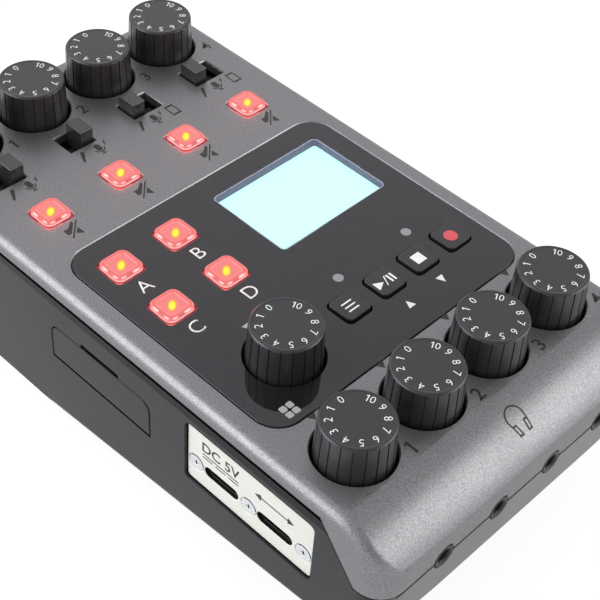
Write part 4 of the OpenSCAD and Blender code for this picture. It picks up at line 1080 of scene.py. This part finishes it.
def handset_mark():
    """Outline of a pocket telephone."""
    w, h, line, cap = 2.4 * MM, 3.7 * MM, 0.35 * MM, 0.6 * MM
    return [bar(0, h / 2, w + line, cap), bar(0, -h / 2, w + line, cap),
            bar(-w / 2, 0, line, h), bar(w / 2, 0, line, h)]


def headphones_mark():
    """Thin head band with a narrow outlined cup inside each end."""
    line = 0.40 * MM
    radius = 2.8 * MM
    parts = [hoop(0, BAND_END, radius, line, 0.0, math.pi)]
    for side in (-1, 1):
        leg, cup = side * (radius - line / 2), side * (radius - 1.2 * MM)
        parts.append(bar(leg, -0.9 * MM, line, 3.3 * MM))
        parts.append(bar(cup, -1.5 * MM, line, 2.1 * MM))
        parts += [bar((leg + cup) / 2, end, abs(leg - cup) + line, line) for end in (-2.5 * MM, -0.5 * MM)]
    return parts


def panel_marks():
    face = TOP - INK_T / 4
    lift = Vector((0, 0, face))
    for name in PADS:
        inked([text_mesh(name.upper(), LETTER_H, LETTER_WEIGHT)],
              beside(f"pad_button_{name}", LETTER_AT, face), f"letter_{name}", ink_white)
    for name, at, up in (("up", UP_MARK_AT, True), ("down", DOWN_MARK_AT, False)):
        inked([pointer_mark(2.25 * MM, 2.35 * MM, up)], at + lift, f"{name}_mark", ink_white)
    inked([pointer_mark(2.3 * MM, 2.1 * MM)], beside("pad_knob", PAD_POINTER_AT, face),
          "pad_pointer", ink_grey)
    tiles = [rounded_tile(s * PADS_TILE_WAY, t * PADS_TILE_WAY) for s in (-1, 1) for t in (-1, 1)]
    inked(tiles, PADS_MARK_AT + lift, "pads_mark", ink_grey)


def rounded_tile(x, y):
    tile = bar(x, y, PADS_TILE, PADS_TILE)
    pick(tile, "VERT", everything)
    bpy.ops.mesh.bevel(offset=PADS_TILE_R, segments=3, affect="VERTICES")
    done()
    return tile


def shell_marks():
    """Numbers, pointers and symbols beside the controls of each channel."""
    face = TOP - SKIN_INSET - INK_T / 4
    for i in CHANNELS:
        gain_x = middle(f"gain_knob_{i}").x
        paired = i < 3
        marks = [("phones_pointer", [pointer_mark(2.3 * MM, 1.75 * MM)], 0.35, POINTER_ROW),
                 ("microphone_mark", microphone_mark(), -2.83 if paired else -5.45, ICON_ROW),
                 ("powered_mark", powered_microphone_mark(), 2.5 if paired else -0.7,
                  ICON_ROW + 0.55 * MM)]
        if not paired:
            marks.append(("handset_mark", handset_mark(), 5.4, ICON_ROW - 0.15 * MM))
        for name, parts, x, row in marks:
            inked(parts, Vector((gain_x + x * MM, row, face)), f"{name}_{i}", ink_dark)
        for row, offset in (("phones", PHONES_NUMBER_AT), ("gain", GAIN_NUMBER_AT)):
            inked([numeral(str(i), NUMBER_H)], beside(f"{row}_knob_{i}", offset, face),
                  f"{row}_number_{i}", ink_dark)
        inked(mute_mark(), beside(f"mute_button_{i}", MUTE_MARK_AT, face), f"mute_mark_{i}", ink_dark)
    wrapped_headphones()


def wrapped_headphones():
    """The headphones mark follows the shell where it rolls over to the front."""
    mark = layered(headphones_mark())
    pick(mark, "VERT", everything)
    bpy.ops.mesh.subdivide(number_cuts=3)
    done()
    for vertex in mark.data.vertices:
        if vertex.co.x < 0:
            vertex.co.x += HEADPHONES_LEAN * max(0.0, BAND_END - vertex.co.y)
    mark.data.transform(Matrix.Translation(HEADPHONES_AT + Vector((0, 0, TOP))))
    for vertex in mark.data.vertices:
        vertex.co.z -= roll_fall(vertex.co.y) + SKIN_INSET
    thicken(mark)
    settle(mark, "headphones_mark", "casing", ink_dark)


def key_marks():
    def on_key(name):
        return beside(f"{name}_button", KEY_MARK_AT, top_of(f"{name}_button") - INK_T / 4)
    bars = [bar(0, step * 1.3 * MM, 3.3 * MM, 0.42 * MM) for step in (-1, 0, 1)]
    inked(bars, on_key("menu"), "menu_mark", ink_white, "menu_key")
    play = [plate_of([(-3.05 * MM, -1.4 * MM), (-0.4 * MM, 0), (-3.05 * MM, 1.4 * MM)]),
            bar(0.35 * MM, 0, 3.2 * MM, 0.28 * MM, math.radians(65)),
            bar(1.65 * MM, 0, 0.55 * MM, 2.6 * MM), bar(2.75 * MM, 0, 0.55 * MM, 2.6 * MM)]
    inked(play, on_key("play"), "play_mark", ink_white, "play_key")
    inked([bar(0, 0, 3.1 * MM, 3.1 * MM)], on_key("stop"), "stop_mark", ink_white, "stop_key")
    inked([disc(0, 0, 1.85 * MM, 40)], on_key("record"), "record_mark", ink_red, "record_key")


def plate_marks():
    """Supply and data symbols above the two ports, on the upright face of the connector plate."""
    face_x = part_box("connector_plate")[0].x
    line = 0.36 * MM
    supply = [bar(0, 4.95 * MM, 11.6 * MM, line)]
    supply += [bar(step * 4.2 * MM, 3.95 * MM, 3.2 * MM, line) for step in (-1, 0, 1)]
    volts = text_mesh("DC 5V", 3.1 * MM)
    volts.data.transform(Matrix.Translation((0, 7.4 * MM, 0)))
    row, neck, tip, half = 6.4 * MM, 4.1 * MM, 6.1 * MM, 1.0 * MM
    arrows = [bar(0, row, 8.4 * MM, 0.42 * MM)]
    for way in (1, -1):
        arrows.append(plate_of([(way * neck, row - way * half), (way * tip, row),
                                (way * neck, row + way * half)]))
    for name, parts, port in (("supply_mark", supply + [volts], "usb_power"),
                              ("data_mark", arrows, "usb_data")):
        obj = layered(parts)
        thicken(obj)
        at = mount_at[port] + PORT_MARK_AT
        at.x = face_x + INK_T / 4
        obj.data.transform(Matrix.Translation(at) @ ON_LEFT_WALL)
        settle(obj, name, "casing", ink_dark)


# Panel, display and connectors

def display_face():
    """Lit face of the display under its window."""
    low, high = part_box("lcd_window")
    lit_z = top_of("lcd_module")
    lit_low, lit_high = low + LIT_INSET_LOW, high - LIT_INSET_HIGH
    lit_low.z, lit_high.z = lit_z - LIT_SUNK, lit_z + LIT_RISE
    face = add_rounded_block(lit_low, lit_high, LIT_CORNER_R, 5)
    soften(face, 0.03 * MM, 1)
    settle(face, "display_face", "casing", glow_face)


def display_bezel():
    """Funnel-shaped frame from the window's edge down to the lit face."""
    low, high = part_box("lcd_window")
    lit_low, lit_high = low + LIT_INSET_LOW, high - LIT_INSET_HIGH
    inset = Vector((SKIN_INSET, SKIN_INSET, 0))
    foot = low + inset
    foot.z = top_of("lcd_module") - BEZEL_SUNK
    head = high - inset
    head.z = high.z - PANE_T - SKIN_INSET
    bezel = add_rounded_block(foot, head, WINDOW_CORNER_R, 6)
    pick(bezel, "FACE", lambda place, normal: normal.z > 0.99)
    bpy.ops.mesh.inset(thickness=BEZEL_RIM)
    bpy.ops.mesh.extrude_region_move(TRANSFORM_OT_translate={"value": (0, 0, foot.z + BEZEL_FLOOR - head.z)})
    centre = (foot + head) / 2
    wide = head - foot - 2 * Vector((BEZEL_RIM, BEZEL_RIM, 0))
    lit = lit_high - lit_low
    bpy.ops.transform.resize(value=(lit.x / wide.x, lit.y / wide.y, 1), center_override=centre)
    shift = (lit_low + lit_high) / 2 - centre
    bpy.ops.transform.translate(value=(shift.x, shift.y, 0))
    done()
    settle(bezel, "display_bezel", "casing", bezel_blue)
    # The frame's flat top edge gets the paler blue: a painted highlight
    recolour(bezel, bezel_highlight, lambda place, normal: normal.z > 0.99 and place.z > head.z - SKIN_INSET)


def window_pane():
    low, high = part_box("lcd_window")
    pane = add_rounded_block((low.x, low.y, high.z - PANE_T), (high.x, high.y, high.z - 0.01 * MM),
                             WINDOW_CORNER_R, 6)
    take(pane)
    bpy.ops.object.shade_smooth_by_angle(angle=math.radians(40))
    stand_in(pane, "lcd_window", pane_clear)


def screw_places():
    """Where the plate's screws are along the body."""
    low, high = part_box("plate_screws")
    reach = (high.z - low.z) / 2
    return [low.y + reach, (low.y + high.y) / 2, high.y - reach]


def plate_piece():
    """Connector plate with the walls in its ports painted black: painted shade."""
    face_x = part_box("connector_plate")[0].x
    ports = [mount_at["usb_power"], mount_at["usb_data"]]
    plate = cad_copy("connector_plate")
    for y in [port.y for port in ports] + screw_places():
        cut(plate, (0, y, 0), (0, 1, 0))
    stand_in(soften(plate, 0.15 * MM), "connector_plate", plate_cream)

    # Cream walls inside the ports get black: painted shade
    def in_port(place, normal):
        deep = place.x > face_x + PORT_REACH.x and abs(normal.x) < 0.6
        ways = [place - port for port in ports]
        return deep and any(abs(w.y) < PORT_REACH.y and abs(w.z) < PORT_REACH.z for w in ways)
    recolour(plate, connector_black, in_port)


def plate_screw_pieces():
    """Screws with their cross recesses painted black as painted shade, and a painted shadow in an arc above
    each head.
    """
    low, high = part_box("plate_screws")
    reach = (high.z - low.z) / 2
    centre = (low + high) / 2
    heads = screw_places()

    def in_cross(place, normal):
        way = min((Vector((place.y - y, place.z - centre.z)) for y in heads), key=lambda w: w.length)
        return place.x > low.x + 0.06 * MM and way.length < reach * 0.7
    recolour(dress("plate_screws", 0.08 * MM, screw_steel), painted_shade_black, in_cross)
    # Black arcs on the plate above each head: painted shadow
    parts = [hoop(-y, centre.z, SCREW_ARC_R, SCREW_ARC_W, math.radians(5), math.radians(125)) for y in heads]
    shade = joined(parts)
    thicken(shade)
    face_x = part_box("connector_plate")[0].x
    shade.data.transform(Matrix.Translation((face_x + INK_T / 4, 0, 0)) @ ON_LEFT_WALL)
    settle(shade, "plate_screw_painted_shadows", "casing", painted_shade_black)


def jack_noses():
    """Round jack noses with a wide lead-in to each bore."""
    obj = cad_copy("mini_jacks")
    low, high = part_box("mini_jacks")
    holes = [place for name, place in mount_at.items() if "jack" in name]

    def at_mouth(a, b):
        front = max(abs(p.y - low.y) for p in (a, b)) < SKIN_INSET
        side = max(abs(p.x - high.x) for p in (a, b)) < SKIN_INSET
        if not (front or side):
            return False
        return max(min((p - hole).length for hole in holes) for p in (a, b)) < JACK_BORE_R * 1.2
    round_edges(obj, at_mouth, JACK_MOUTH, 4, clamp_overlap=False)
    stand_in(soften(obj, 0.2 * MM), "mini_jacks", connector_black)


def paint(node, material):
    """A node that keeps its own shape gets its finish."""
    slots = frame["nodes"][node].data.materials
    slots.clear()
    slots.append(material)


place_camera()
light_world()
soft_box("left_rear_box", (-0.83, 0.50, 0.34), 0.85, 3.0)
soft_box("right_front_box", (0.56, -0.78, 0.36), 0.62, 2.75, (0.967, 1, 0.967))
lay_floor()

top_shell_piece()
bottom_case_piece()
knob_pieces()
for i in CHANNELS:
    lit_button(f"mute_button_{i}")
    switch_cap(f"input_switch_{i}")
for name in PADS:
    lit_button(f"pad_button_{name}")
for name in KEYS:
    key_cap(f"{name}_button")
display_face()
display_bezel()
window_pane()
panel_marks()
shell_marks()
key_marks()
plate_marks()

plate_piece()
plate_screw_pieces()
jack_noses()
dress("card_cover", COVER_EDGE, case_plastic, at_cover_hinge)
for node, edge, material in (("display_panel", 0.12, panel_acrylic), ("battery_door", 0.25, case_plastic),
                             ("rubber_feet", 0.4, foot_rubber), ("usb_sockets", 0.06, port_steel),
                             ("xlr_shells", 0.25, connector_black), ("xlr_inserts", 0.25, connector_black),
                             ("power_switch", 0.25, switch_plastic)):
    dress(node, edge * MM, material)
for node, material in (("lcd_module", display_frame), ("indicator_lenses", lens_grey),
                       ("control_board", board_green), ("main_board", board_green),
                       ("pot_bodies", pot_metal), ("tact_switches", connector_black),
                       ("slide_switch_bodies", slot_grey), ("xlr_contacts", contact_brass),
                       ("card_socket", connector_steel), ("battery_contacts", connector_steel),
                       ("case_screws", screw_steel), ("board_screws", screw_steel),
                       ("pad_shaft", shaft_metal)):
    paint(node, material)
for i in CHANNELS:
    paint(f"gain_shaft_{i}", shaft_metal)
    paint(f"phones_shaft_{i}", shaft_metal)

bpy.context.scene.view_settings.view_transform = "Standard"
